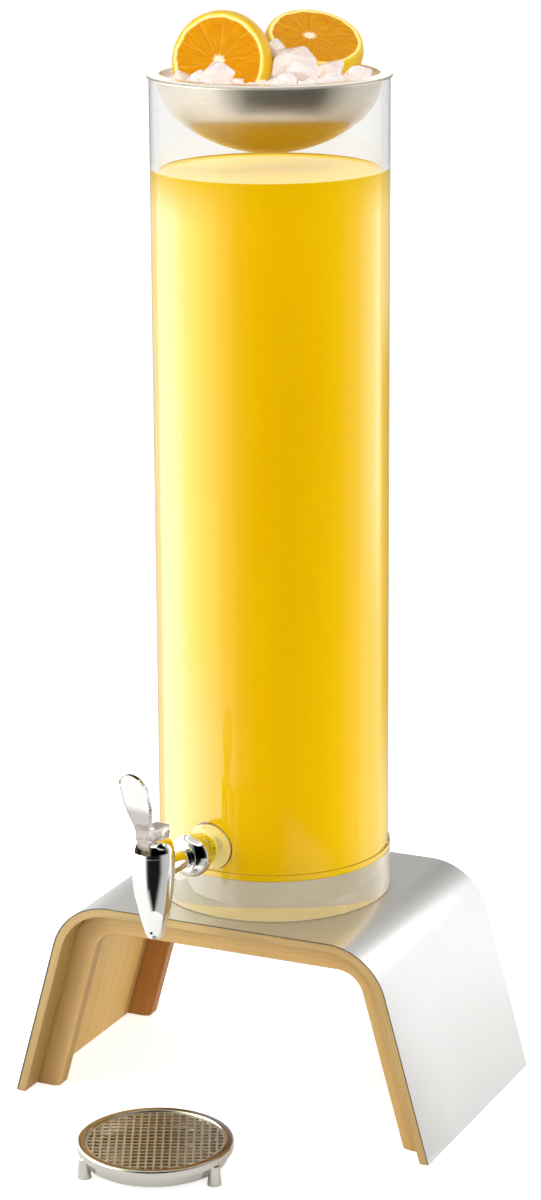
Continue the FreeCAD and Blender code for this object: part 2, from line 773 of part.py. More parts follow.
def make_lever_cuts(blade):
    """Open the lever for its pivot, the stem and the stem's cross pin."""
    tool = new_body("lever_openings", x=tap_x, y=tap_y, turn=d.tap_turn)
    half = d.lever_slot / 2
    stem_slot = rectangle(
        tool,
        "YZ_Plane",
        "stem_slot",
        -d.lever_slot_front,
        pivot_z - d.lever_knuckle * 2,
        d.lever_slot_rear,
        pivot_z + d.lever_slot_top,
    )
    pad(tool, "stem_slot_block", stem_slot, half * 2, Midplane=True)
    pin_hole = d.stem_pin_radius + d.running_gap * 2
    pin_way = outline(
        tool,
        "YZ_Plane",
        "pin_way",
        [
            (-d.pin_play / 2, pivot_z + pin_hole, pin_hole * d.round_slack, -1),
            (-d.pin_play / 2, pivot_z - pin_hole),
            (d.pin_play, pivot_z - pin_hole, pin_hole * d.round_slack, -1),
            (d.pin_play, pivot_z + pin_hole),
        ],
    )
    pad(tool, "pin_way_block", pin_way, d.stem_pin_half * 2 + d.lever_side_gap, Midplane=True)
    drill = new_body("lever_drill", x=tap_x, y=tap_y, turn=d.tap_turn)
    hole = disc(drill, "YZ_Plane", "pivot_way", [(-d.pivot_out, pivot_z, d.pivot_radius + d.running_gap)])
    pad(drill, "pivot_way_block", hole, d.lever_paddle, Midplane=True)
    cut("tap_lever", cut("lever_slotted", blade, tool), drill)


def make_valve():
    """The stem, its cross pin, the seat cup and the spring that closes the valve."""
    cup_low = seat_z + d.cup_lift_gap
    cup_high = cup_low + d.cup_height
    stem = new_body("valve_stem", x=tap_x, y=tap_y, turn=d.tap_turn)
    stem_low = cup_low + d.stem_foot_rise
    profile = outline(
        stem,
        "XZ_Plane",
        "stem_profile",
        [
            (ZERO, stem_low),
            (d.stem_foot_radius, stem_low),
            (d.stem_foot_radius, stem_low + d.stem_radius),
            (d.stem_radius, stem_low + d.stem_radius),
            (d.stem_radius, pivot_z - d.stem_shoulder),
            (ZERO, pivot_z - d.stem_shoulder),
        ],
    )
    revolve(stem, "rod", profile)
    tab = rectangle(
        stem,
        "XZ_Plane",
        "tab_section",
        -d.stem_tab,
        pivot_z - d.stem_shoulder - d.stem_radius,
        d.stem_tab,
        pivot_z + d.stem_tab_rise,
    )
    pad(stem, "tab", tab, d.stem_tab_width * 2, Midplane=True)
    eye = disc(stem, "YZ_Plane", "eye", [(ZERO, pivot_z, d.stem_pin_radius)])
    pocket(stem, "eye_hole", eye, d.stem_radius * 4, Midplane=True)

    pin = new_body("stem_pin", x=tap_x, y=tap_y, turn=d.tap_turn)
    rod = disc(pin, "YZ_Plane", "pin_section", [(ZERO, pivot_z, d.stem_pin_radius)])
    pad(pin, "pin", rod, d.stem_pin_half * 2, Midplane=True)

    cup = new_body("seat_cup", x=tap_x, y=tap_y, turn=d.tap_turn)
    socket = d.stem_foot_radius + d.glue_gap
    neck = d.stem_radius + d.glue_gap
    profile = outline(
        cup,
        "XZ_Plane",
        "cup_profile",
        [
            (ZERO, cup_low),
            (d.cup_radius, cup_low),
            (d.cup_radius, cup_low + d.cup_band),
            (d.cup_top_radius, cup_high),
            (neck, cup_high),
            (neck, stem_low + d.stem_radius + d.glue_gap),
            (socket, stem_low + d.stem_radius + d.glue_gap),
            (socket, stem_low - d.glue_gap),
            (ZERO, stem_low - d.glue_gap),
        ],
    )
    revolve(cup, "moulded_cup", profile)

    spring = doc.addObject("Part::Feature", "valve_spring")
    coil_low = (cup_high + d.spring_gap + d.spring_wire).number
    coil_high = (diaphragm_z - d.spring_gap - d.spring_wire).number
    spring.Shape = coil(
        d.spring_radius.number, d.spring_wire.number, coil_high - coil_low, d.spring_turns.number
    )
    spring.Placement = Placement(
        Vector(tap_x.number, tap_y.number, coil_low), Rotation(Vector(0, 0, 1), d.tap_turn.number)
    )
    return spring


def coil(radius, wire, height, turns):
    """One unbroken round wire wound about +Z, on two tangent arcs to each quarter turn."""
    slope = height / (turns * 2 * math.pi)
    arcs = []
    for step in range(round(turns * 4)):
        angles = [step * math.pi / 2, (step + 1) * math.pi / 2]
        ends = [Vector(radius * math.cos(a), radius * math.sin(a), slope * a) for a in angles]
        ways = [Vector(-radius * math.sin(a), radius * math.cos(a), slope).normalize() for a in angles]
        arcs += biarc(*ends, *ways)
    start = Part.Circle(Vector(radius, 0, 0), Vector(0, radius, slope), wire)
    section = Part.Wire([start.toShape()])
    faces = [Part.Face(section)]
    for arc in arcs:
        bend = arc.Curve
        angle = math.degrees(arc.LastParameter - arc.FirstParameter)
        faces += section.revolve(bend.Center, bend.Axis, angle).Faces
        section = section.rotated(bend.Center, bend.Axis, angle)
    faces.append(Part.Face(section))
    skin = Part.makeShell(faces)
    skin.sewShape()
    print(f"least gap between the spring's turns: {height / turns - 2 * wire:.2f} mm")
    return Part.makeSolid(skin)


def biarc(start, end, start_way, end_way):
    """Two arcs that leave one point along a direction and reach the next along another."""
    across, ways = end - start, start_way + end_way
    spread = 2 * (1 - start_way.dot(end_way))
    reach = (math.sqrt(across.dot(ways) ** 2 + spread * across.dot(across)) - across.dot(ways)) / spread
    corners = [start + start_way * reach, end - end_way * reach]
    joint = (corners[0] + corners[1]) * 0.5
    return [tangent_arc(start, corners[0], joint), tangent_arc(joint, corners[1], end)]


def tangent_arc(start, corner, end):
    """The arc that touches both lines of a corner at its two ends."""
    chord = end - start
    share = chord.Length / 2 / (corner - start).Length
    middle = ((start + end) * 0.5 + corner * share) * (1 / (1 + share))
    return Part.Arc(start, middle, end).toShape()


def dish_curve(inset):
    """Corners down the bowl's side to its bottom, moved inwards, as (radius, height below the tube's top)."""
    shoulder, depth = d.bowl_shoulder, d.bowl_depth
    side_x = bowl_radius - shoulder
    base = (bowl_radius * bowl_radius - 2 * bowl_radius * shoulder + depth * depth) / (2 * (depth - shoulder))
    share = (shoulder - inset) / (base - shoulder)
    turn_x = side_x + side_x * share
    turn_z = (depth - base) * share
    return (turn_x, turn_z), shoulder - inset, base - inset, inset - depth


def make_bowl():
    """The ice bowl: one spun sheet from its bottom to its turned-down rim."""
    bowl = new_body("ice_bowl", y=tank_y, z=tube_top)
    turn, side, base, low = dish_curve(ZERO)
    inner_turn, inner_side, inner_base, inner_low = dish_curve(d.bowl_sheet)
    edge = tube_radius + d.bowl_rim_overhang
    inside = edge - d.bowl_sheet
    profile = outline(
        bowl,
        "XZ_Plane",
        "bowl_profile",
        [
            (ZERO, low, base, -1),
            (turn[0], turn[1], side, -1),
            (bowl_radius, ZERO),
            (inside, ZERO),
            (inside, d.bowl_sheet - d.bowl_lip),
            (edge, d.bowl_sheet - d.bowl_lip),
            (edge, ZERO, d.bowl_sheet * d.round_slack, -1),
            (inside, d.bowl_sheet),
            (bowl_radius, d.bowl_sheet, d.bowl_sheet * d.round_slack, 1),
            (bowl_radius - d.bowl_sheet, ZERO, inner_side, 1),
            (inner_turn[0], inner_turn[1], inner_base, 1),
            (ZERO, inner_low),
        ],
    )
    revolve(bowl, "spun_sheet", profile)


def make_orange(label, place_of, margin=ZERO):
    """Half an orange, cut face up in its own frame, then laid in the ice."""
    (across, ahead, above), look = ORANGES[place_of]
    half = new_body(label, x=across, y=tank_y + ahead, z=rim_top + above)
    rim, low = d.orange_radius + margin, -d.orange_dome - margin
    widest = rim + d.orange_bulge
    height = d.orange_dome - d.orange_waist + margin
    dome = (widest * widest + height * height) / (widest * 2)
    rise = d.orange_waist - d.orange_edge
    side = (d.orange_bulge * d.orange_bulge + rise * rise) / (d.orange_bulge * 2)
    profile = outline(
        half,
        "XZ_Plane",
        "half_profile",
        [
            (ZERO, margin),
            (ZERO, low, dome, -1),
            (widest, -d.orange_waist, side, -1),
            (rim, -d.orange_edge),
            (rim - d.orange_edge, margin),
        ],
    )
    revolve(half, "half_fruit", profile)
    half.Placement.Rotation = Rotation(Vector(0, 0, 1), Vector(*look))
    doc.recompute()
    return half


def make_ice():
    """Packed ice that fills the bowl, with lumps on top and room for the fruit."""
    inset = d.bowl_sheet + d.ice_clearance
    turn, side, base, low = dish_curve(inset)
    level = d.bowl_sheet - d.ice_level
    surface = bowl_radius - d.bowl_shoulder + root_of(side * side - level * level)
    fill = new_body("ice_fill", y=tank_y, z=tube_top)
    curve = [(ZERO, low, base, -1), (turn[0], turn[1], side, -1)]
    section = outline(fill, "XZ_Plane", "fill_profile", curve + [(surface, level), (ZERO, level)])
    revolve(fill, "packed_ice", section)
    room = new_body("ice_room", y=tank_y, z=tube_top)
    mouth = bowl_radius - inset
    walls = [(mouth, ZERO), (mouth, d.ice_reach), (ZERO, d.ice_reach)]
    revolve(room, "bowl_space", outline(room, "XZ_Plane", "room_profile", curve + walls))
    lumps = [ice_lump(f"ice_lump_{i + 1}", *lump) for i, lump in enumerate(LUMPS)]
    pile = doc.addObject("Part::MultiFuse", "ice_pile")
    pile.Shapes = [fill] + lumps
    held = doc.addObject("Part::Common", "ice_in_bowl")
    held.Base, held.Tool = pile, room
    for label in ORANGES:
        held = cut(f"ice_round_{label}", held, make_orange(f"{label}_room", label, d.ice_clearance))
    held.Label = "ice"


def ice_lump(label, where, share, turns):
    """A cube with its corners melted off."""
    across, ahead, above = where
    edge = d.ice_lump * share
    lump = new_body(label, x=across, y=tank_y + ahead, z=rim_top + above)
    square = rectangle(lump, "XY_Plane", "square", -edge / 2, -edge / 2, edge / 2, edge / 2)
    pad(lump, "cube", square, edge, Midplane=True)
    cube = lump.Tip
    chamfer = lump.newObject("PartDesign::Chamfer", "melted_edges")
    chamfer.Base = (cube, [f"Edge{i + 1}" for i in range(len(cube.Shape.Edges))])
    bind(chamfer, "Size", d.ice_melt * share)
    lump.Placement.Rotation = Rotation(*turns)
    doc.recompute()
    return lump


def make_tray():
    """The drip tray: cup, ring, grille and three feet."""
    ring = new_body("tray_ring", x=d.tray_side, y=tray_y)
    inner_skirt = d.ring_radius - d.ring_sheet
    outer_top = d.ring_radius - d.ring_round
    inner_top = d.ring_bore + d.ring_bevel
    ledge = d.ring_bore - d.ring_ledge
    profile = outline(
        ring,
        "XZ_Plane",
        "ring_profile",
        [
            (ledge, ledge_z - d.ring_web),
            (inner_skirt, ledge_z - d.ring_web),
            (inner_skirt, skirt_z),
            (d.ring_radius, skirt_z),
            (d.ring_radius, d.ring_height - d.ring_round, d.ring_round, -1),
            (outer_top, d.ring_height),
            (inner_top, d.ring_height),
            (d.ring_bore, d.ring_height - d.ring_bevel),
            (d.ring_bore, ledge_z),
            (ledge, ledge_z),
        ],
    )
    revolve(ring, "pressed_ring", profile)

    cup = new_body("tray_cup", x=d.tray_side, y=tray_y)
    foot = d.cup_foot_radius
    floor = d.cup_floor_height
    profile = outline(
        cup,
        "XZ_Plane",
        "cup_profile",
        [
            (ZERO, floor),
            (foot - d.cup_corner, floor),
            (foot, floor + d.cup_corner),
            (cup_rim, skirt_z),
            (cup_rim, cup_top),
            (cup_rim - d.cup_wall, cup_top),
            (cup_rim - d.cup_wall, skirt_z),
            (foot - d.cup_wall, floor + d.cup_corner + d.cup_wall / 2),
            (foot - d.cup_corner - d.cup_wall / 2, floor + d.cup_wall),
            (ZERO, floor + d.cup_wall),
        ],
    )
    revolve(cup, "pressed_cup", profile)

    for number in range(FEET):
        angle = d.tray_turn + d.foot_turn + as_size(number * 360.0 / FEET)
        cone = doc.addObject("Part::Cone", f"foot_cone_{number + 1}")
        bind(cone, "Radius1", d.foot_bottom)
        bind(cone, "Radius2", d.foot_top)
        bind(cone, "Height", skirt_z)
        place(
            cone,
            x=d.tray_side + cos_of(angle) * d.foot_circle,
            y=tray_y + sin_of(angle) * d.foot_circle,
        )
        solid_cup = doc.addObject("Part::Cone", f"foot_relief_{number + 1}")
        bind(solid_cup, "Radius1", foot + d.ring_fit)
        bind(solid_cup, "Radius2", cup_rim + d.ring_fit)
        bind(solid_cup, "Height", skirt_z - floor - d.cup_corner)
        place(solid_cup, x=d.tray_side, y=tray_y, z=floor + d.cup_corner)
        under = doc.addObject("Part::Cone", f"foot_under_{number + 1}")
        bind(under, "Radius1", foot - d.cup_corner + d.ring_fit)
        bind(under, "Radius2", foot + d.ring_fit)
        bind(under, "Height", d.cup_corner + d.ring_fit)
        place(under, x=d.tray_side, y=tray_y, z=floor - d.ring_fit)
        cleared = cut(f"foot_cleared_{number + 1}", cone, solid_cup)
        cut(f"tray_foot_{number + 1}", cleared, under)
    make_grille()


def make_grille():
    """A round sheet with a square grid of square holes that a plain edge cuts off."""
    radius = (d.ring_bore - d.grille_gap).number
    thickness, pitch, side = d.grille_thickness.number, d.grille_pitch.number, d.grille_hole.number
    reach = radius - d.grille_border.number
    count = int(reach / pitch) + 1
    middles = [(number + 0.5) * pitch for number in range(-count, count)]
    field = Part.makeCylinder(reach, thickness)
    holes = []
    for x in middles:
        for y in middles:
            hole = Part.makeBox(side, side, thickness, Vector(x - side / 2, y - side / 2, 0))
            if math.hypot(abs(x) + side / 2, abs(y) + side / 2) > reach:
                hole = hole.common(field)
            if hole.Volume > d.grille_least_hole.number * side * side * thickness:
                holes.append(hole)
    grille = doc.addObject("Part::Feature", "tray_grille")
    grille.Shape = Part.makeCylinder(radius, thickness).cut(Part.makeCompound(holes))
    grille.Placement = Placement(
        Vector(d.tray_side.number, tray_y.number, ledge_z.number),
        Rotation(Vector(0, 0, 1), d.tray_turn.number),
    )
    print(f"grille holes: {len(holes)}")


make_stand()
make_tank()
make_wall_fitting()
make_tap()
make_lever_cuts(make_lever())
make_valve()
make_bowl()
for orange in ORANGES:
    make_orange(orange, orange)
make_ice()
make_tray()
doc.recompute()

NODES = [
    "stand_shell",
    "stand_skin",
    "rib_front",
    "rib_rear",
    "tank_base",
    "tank_tube",
    "tap_boss",
    "shank_washer",
    "tap_flange",
    "inner_gasket",
    "shank_nut",
    "tap_body",
    "tap_shank",
    "tap_cap",
    "pivot_pin",
    "tap_lever",
    "valve_stem",
    "stem_pin",
    "seat_cup",
    "valve_spring",
    "ice_bowl",
    "ice",
    "orange_half_front",
    "orange_half_rear",
    "tray_ring",
    "tray_cup",
    "tray_foot_1",
    "tray_foot_2",
    "tray_foot_3",
    "tray_grille",
]


def check_document():
    """Stop if any object failed or any sub-part's shape is unusable."""
    for thing in doc.Objects:
        if "Invalid" in thing.State or "Error" in thing.State:
            raise RuntimeError(f"{thing.Label} failed: {thing.State}")
    for label in NODES:
        found = doc.getObjectsByLabel(label)
        if len(found) != 1:
            raise RuntimeError(f"{label} names {len(found)} objects")
        shape = found[0].Shape
        if shape.isNull() or not shape.isValid() or not shape.Solids:
            raise RuntimeError(f"{label} has no valid solid")


check_document()
os.makedirs("parts", exist_ok=True)
for label in NODES:
    doc.getObjectsByLabel(label)[0].Shape.exportStep(f"parts/{label}.step")
print(f"{len(NODES)} sub-parts written")
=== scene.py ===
"""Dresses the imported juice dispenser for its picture.

The clear tank with its juice and ice bowl, the tap, the bent wood stand and the drip tray are
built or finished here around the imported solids, in the part's own frame.
"""

from __future__ import annotations

import json
import logging
import math
import random
from collections.abc import Callable
from dataclasses import dataclass
from enum import Enum

import bmesh
import bpy
from mathutils import Matrix, Vector

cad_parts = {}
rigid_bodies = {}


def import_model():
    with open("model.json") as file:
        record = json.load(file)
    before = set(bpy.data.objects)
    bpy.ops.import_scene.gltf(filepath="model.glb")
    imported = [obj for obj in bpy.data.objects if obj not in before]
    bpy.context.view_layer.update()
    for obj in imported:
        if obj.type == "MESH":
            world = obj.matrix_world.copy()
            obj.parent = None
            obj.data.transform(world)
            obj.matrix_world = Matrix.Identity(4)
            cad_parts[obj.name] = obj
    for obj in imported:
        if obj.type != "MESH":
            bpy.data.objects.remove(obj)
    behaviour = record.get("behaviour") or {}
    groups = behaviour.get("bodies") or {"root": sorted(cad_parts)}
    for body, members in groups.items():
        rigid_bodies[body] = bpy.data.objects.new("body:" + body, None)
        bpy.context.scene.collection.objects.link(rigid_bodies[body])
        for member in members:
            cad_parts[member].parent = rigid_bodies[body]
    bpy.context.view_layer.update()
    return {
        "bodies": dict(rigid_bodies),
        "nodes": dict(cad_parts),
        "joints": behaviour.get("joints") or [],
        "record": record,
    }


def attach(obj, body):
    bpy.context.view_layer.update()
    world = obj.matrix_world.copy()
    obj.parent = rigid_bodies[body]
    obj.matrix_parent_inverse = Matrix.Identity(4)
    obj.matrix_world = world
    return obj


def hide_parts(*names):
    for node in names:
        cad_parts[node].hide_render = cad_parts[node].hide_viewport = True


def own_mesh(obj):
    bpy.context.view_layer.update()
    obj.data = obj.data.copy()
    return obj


Triple = tuple[float, float, float]
Colour = Triple
Point = tuple[float, float]
Paint = Callable[[float, float], Colour]

LOG = logging.getLogger("dispenser")
MM = 0.001
# Nearly all values of a noise lie in this range.
NOISE_RANGE = (0.3, 0.7)


class Body(str, Enum):
    """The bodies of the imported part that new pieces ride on."""

    STAND = "stand"
    TANK = "tank"
    BOWL = "bowl"
    TRAY = "tray"


class Slot(str, Enum):
    """The names of the record's material slots, one given with each new piece."""

    CLEAR = "clear_acrylic"
    CHROME = "chrome"
    STEEL = "steel"
    SATIN = "satin_steel"
    LAMINATE = "laminate"
    BAMBOO = "bamboo"
    RIB = "rib_wood"
    ICE = "ice"
    ORANGE = "orange"


class Cut(str, Enum):
    """What one mesh does to another."""

    AWAY = "DIFFERENCE"
    JOIN = "UNION"


# Shader building


class Shader:
    """A material's node tree with one Principled shader, and short ways to add to it."""

    def __init__(self, name: str) -> None:
        """Start an empty material.

        Args:
            name: The material's name.
        """
        self.material = bpy.data.materials.new(name)
        self.material.use_nodes = True
        self.tree = self.material.node_tree
        self.tree.nodes.clear()
        self.surface = self.tree.nodes.new("ShaderNodeBsdfPrincipled")
        output = self.tree.nodes.new("ShaderNodeOutputMaterial")
        self.join(self.surface.outputs["BSDF"], output.inputs["Surface"])

    def join(self, source: bpy.types.NodeSocket, target: bpy.types.NodeSocket) -> None:
        """Link two sockets."""
        self.tree.links.new(source, target)

    def add(self, kind: str, **inputs: object) -> bpy.types.Node:
        """Add a node and fill its input sockets.

        Args:
            kind: The node's type without its "ShaderNode" start.
            inputs: Socket names, with _ for a space, and a value or a socket to link.

        Returns:
            The new node.
        """
        node = self.tree.nodes.new("ShaderNode" + kind)
        for key, value in inputs.items():
            self.feed(node.inputs[key.replace("_", " ")], value)
        return node

    def feed(self, socket: bpy.types.NodeSocket, value: object) -> None:
        """Set a socket's value, or link another socket to it.

        Args:
            socket: The input socket.
            value: A number, a colour, a vector or a socket.
        """
        if isinstance(value, bpy.types.NodeSocket):
            self.join(value, socket)
        elif isinstance(value, tuple) and len(value) == 3 and socket.type == "RGBA":
            socket.default_value = (*value, 1.0)
        else:
            socket.default_value = value

    def set(self, **values: object) -> None:
        """Fill sockets of the Principled shader, with _ for a space."""
        for key, value in values.items():
            self.feed(self.surface.inputs[key.replace("_", " ")], value)

    def math(self, operation: str, first: object, second: object = 0.0) -> bpy.types.NodeSocket:
        """Add a Math node.

        Args:
            operation: Its operation.
            first: A number or a socket.
            second: A number or a socket.

        Returns:
            The result's socket.
        """
        node = self.tree.nodes.new("ShaderNodeMath")
        node.operation = operation
        self.feed(node.inputs[0], first)
        self.feed(node.inputs[1], second)
        return node.outputs[0]

    def length(self, first: object, second: object) -> bpy.types.NodeSocket:
        """The length of a line from its two parts."""
        squares = (self.math("POWER", part, 2.0) for part in (first, second))
        return self.math("SQRT", self.math("ADD", *squares))

    def spread(
        self, value: object, low: float, high: float, start: float = 0.0, end: float = 1.0
    ) -> bpy.types.NodeSocket:
        """Map a value from one range to another, and hold it at the ends.

        Args:
            value: The socket to map.
            low: The value that becomes start.
            high: The value that becomes end.
            start: The result at low.
            end: The result at high.

        Returns:
            The result's socket.
        """
        ends = {"From_Min": low, "From_Max": high, "To_Min": start, "To_Max": end}
        return self.add("MapRange", Value=value, **ends).outputs["Result"]

    def read(self, name: str) -> bpy.types.Node:
        """Add a node that reads an attribute of the mesh.

        Args:
            name: The attribute.

        Returns:
            The node.
        """
        node = self.add("Attribute")
        node.attribute_name = name
        return node

    def place(self, scale: float | Triple, source: object = None) -> bpy.types.NodeSocket:
        """Scale object coordinates, or another vector.

        Args:
            scale: How often a metre repeats, in all directions or along each axis.
            source: The vector to scale, or None for the object's own coordinates.

        Returns:
            The scaled vector's socket.
        """
        if source is None:
            source = self.add("TexCoord").outputs["Object"]
        if isinstance(scale, float):
            scale = (scale,) * 3
        return self.add("Mapping", Vector=source, Scale=scale).outputs["Vector"]

    def noise(
        self, scale: float | Triple, detail: float = 3.0, rough: float = 0.5, source: object = None
    ) -> bpy.types.NodeSocket:
        """Add a noise texture.

        Args:
            scale: How often a metre repeats, in all directions or along each axis.
            detail: How many finer layers it has.
            rough: How strong the finer layers are.
            source: The vector it follows, or None for the object's own coordinates.

        Returns:
            The socket of its grey value.
        """
        place = self.place(scale, source)
        node = self.add("TexNoise", Vector=place, Scale=1.0, Detail=detail, Roughness=rough)
        return node.outputs["Fac"]

    def ramp(self, value: object, stops: list[tuple[float, Colour]]) -> bpy.types.NodeSocket:
        """Add a colour ramp.

        Args:
            value: The socket that drives it.
            stops: Pairs of a place from 0 to 1 and a colour.

        Returns:
            The colour's socket.
        """
        node = self.add("ValToRGB", Fac=value)
        band = node.color_ramp.elements
        while len(band) < len(stops):
            band.new(0.5)
        for element, (place, colour) in zip(band, stops):
            element.position = place
            element.color = (*colour, 1.0)
        return node.outputs["Color"]

    def vary(self, noise: object, low: float, high: float) -> bpy.types.NodeSocket:
        """Let a number follow a noise from low to high."""
        return self.spread(noise, *NOISE_RANGE, low, high)

    def mottle(self, noise: object, low: Colour, high: Colour) -> bpy.types.NodeSocket:
        """Let a colour follow a noise from low to high."""
        return self.ramp(noise, list(zip(NOISE_RANGE, (low, high))))

    def blend(self, share: object, first: object, second: object) -> bpy.types.NodeSocket:
        """Mix two colours.

        Args:
            share: How much of the second shows, a number or a socket.
            first: A colour or a socket.
            second: A colour or a socket.

        Returns:
            The mixed colour's socket.
        """
        node = self.tree.nodes.new("ShaderNodeMix")
        node.data_type = "RGBA"
        self.feed(node.inputs[0], share)
        self.feed(node.inputs[6], first)
        self.feed(node.inputs[7], second)
        return node.outputs[2]

    def bump(self, height: object, strength: float, distance: float) -> None:
        """Raise the surface by a height socket, distance in millimetres."""
        node = self.add("Bump", Height=height, Strength=strength, Distance=distance * MM)
        self.set(Normal=node.outputs["Normal"])


@dataclass(frozen=True)
class Metal:
    """A polished, satin or spun metal finish."""

    name: str
    tone: Colour
    smoothest: float
    roughest: float
    grain: float | Triple = 60.0
    lift: float = 0.0

    def material(self) -> bpy.types.Material:
        """Build the finish, with polishing marks along its grain.

        Returns:
            The material.
        """
        shader = Shader(self.name)
        marks = shader.noise(self.grain, 4.0, 0.6)
        shader.set(
            Base_Color=self.tone,
            Metallic=1.0,
            Roughness=shader.vary(marks, self.smoothest, self.roughest),
        )
        if self.lift:
            shader.bump(marks, 0.4, self.lift)
        return shader.material


@dataclass(frozen=True)
class ClearPlastic:
    """Clear moulded or polished plastic, with faint handling marks."""

    name: str
    tone: Colour
    roughest: float
    ior: float = 1.49

    def material(self) -> bpy.types.Material:
        """Build the finish.

        Returns:
            The material.
        """
        shader = Shader(self.name)
        shader.set(
            Base_Color=self.tone,
            Transmission_Weight=1.0,
            IOR=self.ior,
            Roughness=shader.spread(shader.noise(9.0, 2.0), 0.4, 0.7, 0.0, self.roughest),
        )
        return shader.material


@dataclass(frozen=True)
class LeverPlastic:
    """Moulded clear plastic, milky and grey in its thick hub and clear in its paddle."""

    name: str = "moulded_lever"
    hub: Colour = (0.80, 0.745, 0.72)
    neck: Colour = (0.62, 0.575, 0.55)
    paddle: Colour = (0.985, 0.985, 0.985)
    hub_top: float = 231.0
    neck_from: float = 236.0
    neck_top: float = 242.5
    clear_from: float = 247.0
    scale_foot: float = 200.0
    scale_top: float = 300.0

    def material(self) -> bpy.types.Material:
        """Build the finish along the lever's height.

        Returns:
            The material.
        """
        shader = Shader(self.name)
        place = shader.add("TexCoord").outputs["Object"]
        height = shader.add("SeparateXYZ", Vector=place).outputs["Z"]
        scale = self.scale_top - self.scale_foot
        levels = (self.hub_top, self.neck_from, self.neck_top, self.clear_from)
        tones = (self.hub, self.neck, self.neck, self.paddle)
        stops = [((level - self.scale_foot) / scale, tone) for level, tone in zip(levels, tones)]
        share = shader.spread(height, self.scale_foot * MM, self.scale_top * MM)
        clear = shader.spread(height, self.neck_top * MM, self.clear_from * MM)
        shader.set(
            Base_Color=shader.ramp(share, stops),
            Transmission_Weight=shader.spread(clear, 0.0, 1.0, 0.72, 1.0),
            Roughness=shader.spread(clear, 0.0, 1.0, 0.1, 0.01),
            IOR=1.3,
        )
        shader.bump(shader.noise(300.0, 2.0), 0.2, 0.15)
        return shader.material


@dataclass(frozen=True)
class Silicone:
    """Milky soft silicone."""

    name: str = "milky_silicone"
    low: Colour = (0.80, 0.76, 0.62)
    high: Colour = (0.90, 0.87, 0.76)

    def material(self) -> bpy.types.Material:
        """Build the finish.

        Returns:
            The material.
        """
        shader = Shader(self.name)
        shader.set(
            Base_Color=shader.mottle(shader.noise(120.0), self.low, self.high),
            Roughness=0.45,
            Subsurface_Weight=0.3,
            Subsurface_Scale=2 * MM,
        )
        return shader.material


@dataclass(frozen=True)
class Juice:
    """Orange juice, a little cloudy, with a painted sheen that makes it paler where it is seen
    aslant.
    """

    name: str = "orange_juice"
    deep: Colour = (0.82, 0.495, 0.0005)
    light: Colour = (0.84, 0.525, 0.002)
    # Painted sheen: the paler colour the juice takes towards grazing view.
    aslant_sheen: Colour = (0.80, 0.545, 0.003)
    aslant: Point = (0.01, 0.2)
    shine: float = 0.0
    roughness: float = 0.5
    # Painted light: how strongly the liquid glows in its own colour.
    glow: float = 0.0

    def material(self) -> bpy.types.Material:
        """Build the liquid. Its glow is painted light: it emits its own colour though it is no
        lamp.

        Returns:
            The material.
        """
        shader = Shader(self.name)
        colour = shader.mottle(shader.noise((14.0, 14.0, 9.0)), self.deep, self.light)
        facing = shader.add("LayerWeight", Blend=0.5).outputs["Facing"]
        # Painted sheen: blend towards the pale colour as the surface turns away from view.
        colour = shader.blend(shader.spread(facing, *self.aslant), colour, self.aslant_sheen)
        shader.set(
            Base_Color=colour,
            Roughness=self.roughness,
            IOR=1.34,
            Specular_IOR_Level=self.shine,
            # Painted light: the liquid glows in its own colour.
            Emission_Color=colour,
            Emission_Strength=self.glow,
        )
        shader.bump(shader.noise(260.0, 2.0), 0.15, 0.05)
        return shader.material


@dataclass(frozen=True)
class BentWood:
    """Oiled bamboo ply, whose grain follows the bend."""

    name: str
    dark: Colour
    middle: Colour
    light: Colour
    layer: float
    roughness: float = 0.42
    # Painted shade on the shell's inner strip in front of the front rib: where it ends, how wide
    # its fade is, and its colour.
    groove_shade_to: float | None = None
    groove_shade_width: float = 1.5
    groove_shade: Colour = (0.26, 0.15, 0.035)
    # Painted shade in the corner where the front rib meets the shell on the left leg: its depth
    # range, the leg's span along the bend, and its colour.
    corner: Point | None = None
    corner_left: Point = (-0.15, -0.10)
    shade: Colour = (0.13, 0.045, 0.006)

    def material(self) -> bpy.types.Material:
        """Build the wood from the grain attribute: along the bend, into it and across it.

        Returns:
            The material.
        """
        shader = Shader(self.name)
        way = shader.read("grain").outputs["Vector"]
        parts = shader.add("SeparateXYZ", Vector=way).outputs
        fibre = shader.noise((22.0, 900.0, 900.0), 5.0, 0.65, way)
        strip = shader.noise((3.0, 160.0, 130.0), 2.0, source=way)
        cloud = shader.noise((14.0, 40.0, 30.0), 2.0, source=way)
        sheets = shader.math("MULTIPLY", parts["Y"], 1 / (self.layer * MM))
        glue = shader.math("PINGPONG", sheets, 0.5)
        tone = shader.math("MULTIPLY", fibre, 0.45)
        for marks, share in ((strip, 0.35), (cloud, 0.2)):
            tone = shader.math("ADD", tone, shader.math("MULTIPLY", marks, share))
        tone = shader.math("SUBTRACT", tone, shader.spread(glue, 0.0, 0.1, 0.12, 0.0))
        colour = shader.ramp(tone, [(0.3, self.dark), (0.5, self.middle), (0.68, self.light)])
        # Painted shade: the inner strip in front of the front rib is darkened.
        if self.groove_shade_to is not None:
            start, end = self.groove_shade_to - self.groove_shade_width, self.groove_shade_to
            share = shader.spread(parts["Z"], start * MM, end * MM, 0.6, 0.0)
            colour = shader.blend(share, colour, self.groove_shade)
        # Painted shade: the front rib darkens towards the shell, on the left leg only.
        if self.corner is not None:
            start, end = self.corner
            deep = shader.spread(parts["Y"], start * MM, end * MM, 0.55, 0.05)
            left = shader.spread(parts["X"], *self.corner_left, 1.0, 0.0)
            colour = shader.blend(shader.math("MULTIPLY", deep, left), colour, self.shade)
        shader.set(
            Base_Color=colour,
            Roughness=shader.vary(fibre, self.roughness - 0.06, self.roughness + 0.08),
        )
        shader.bump(fibre, 0.25, 0.12)
        return shader.material


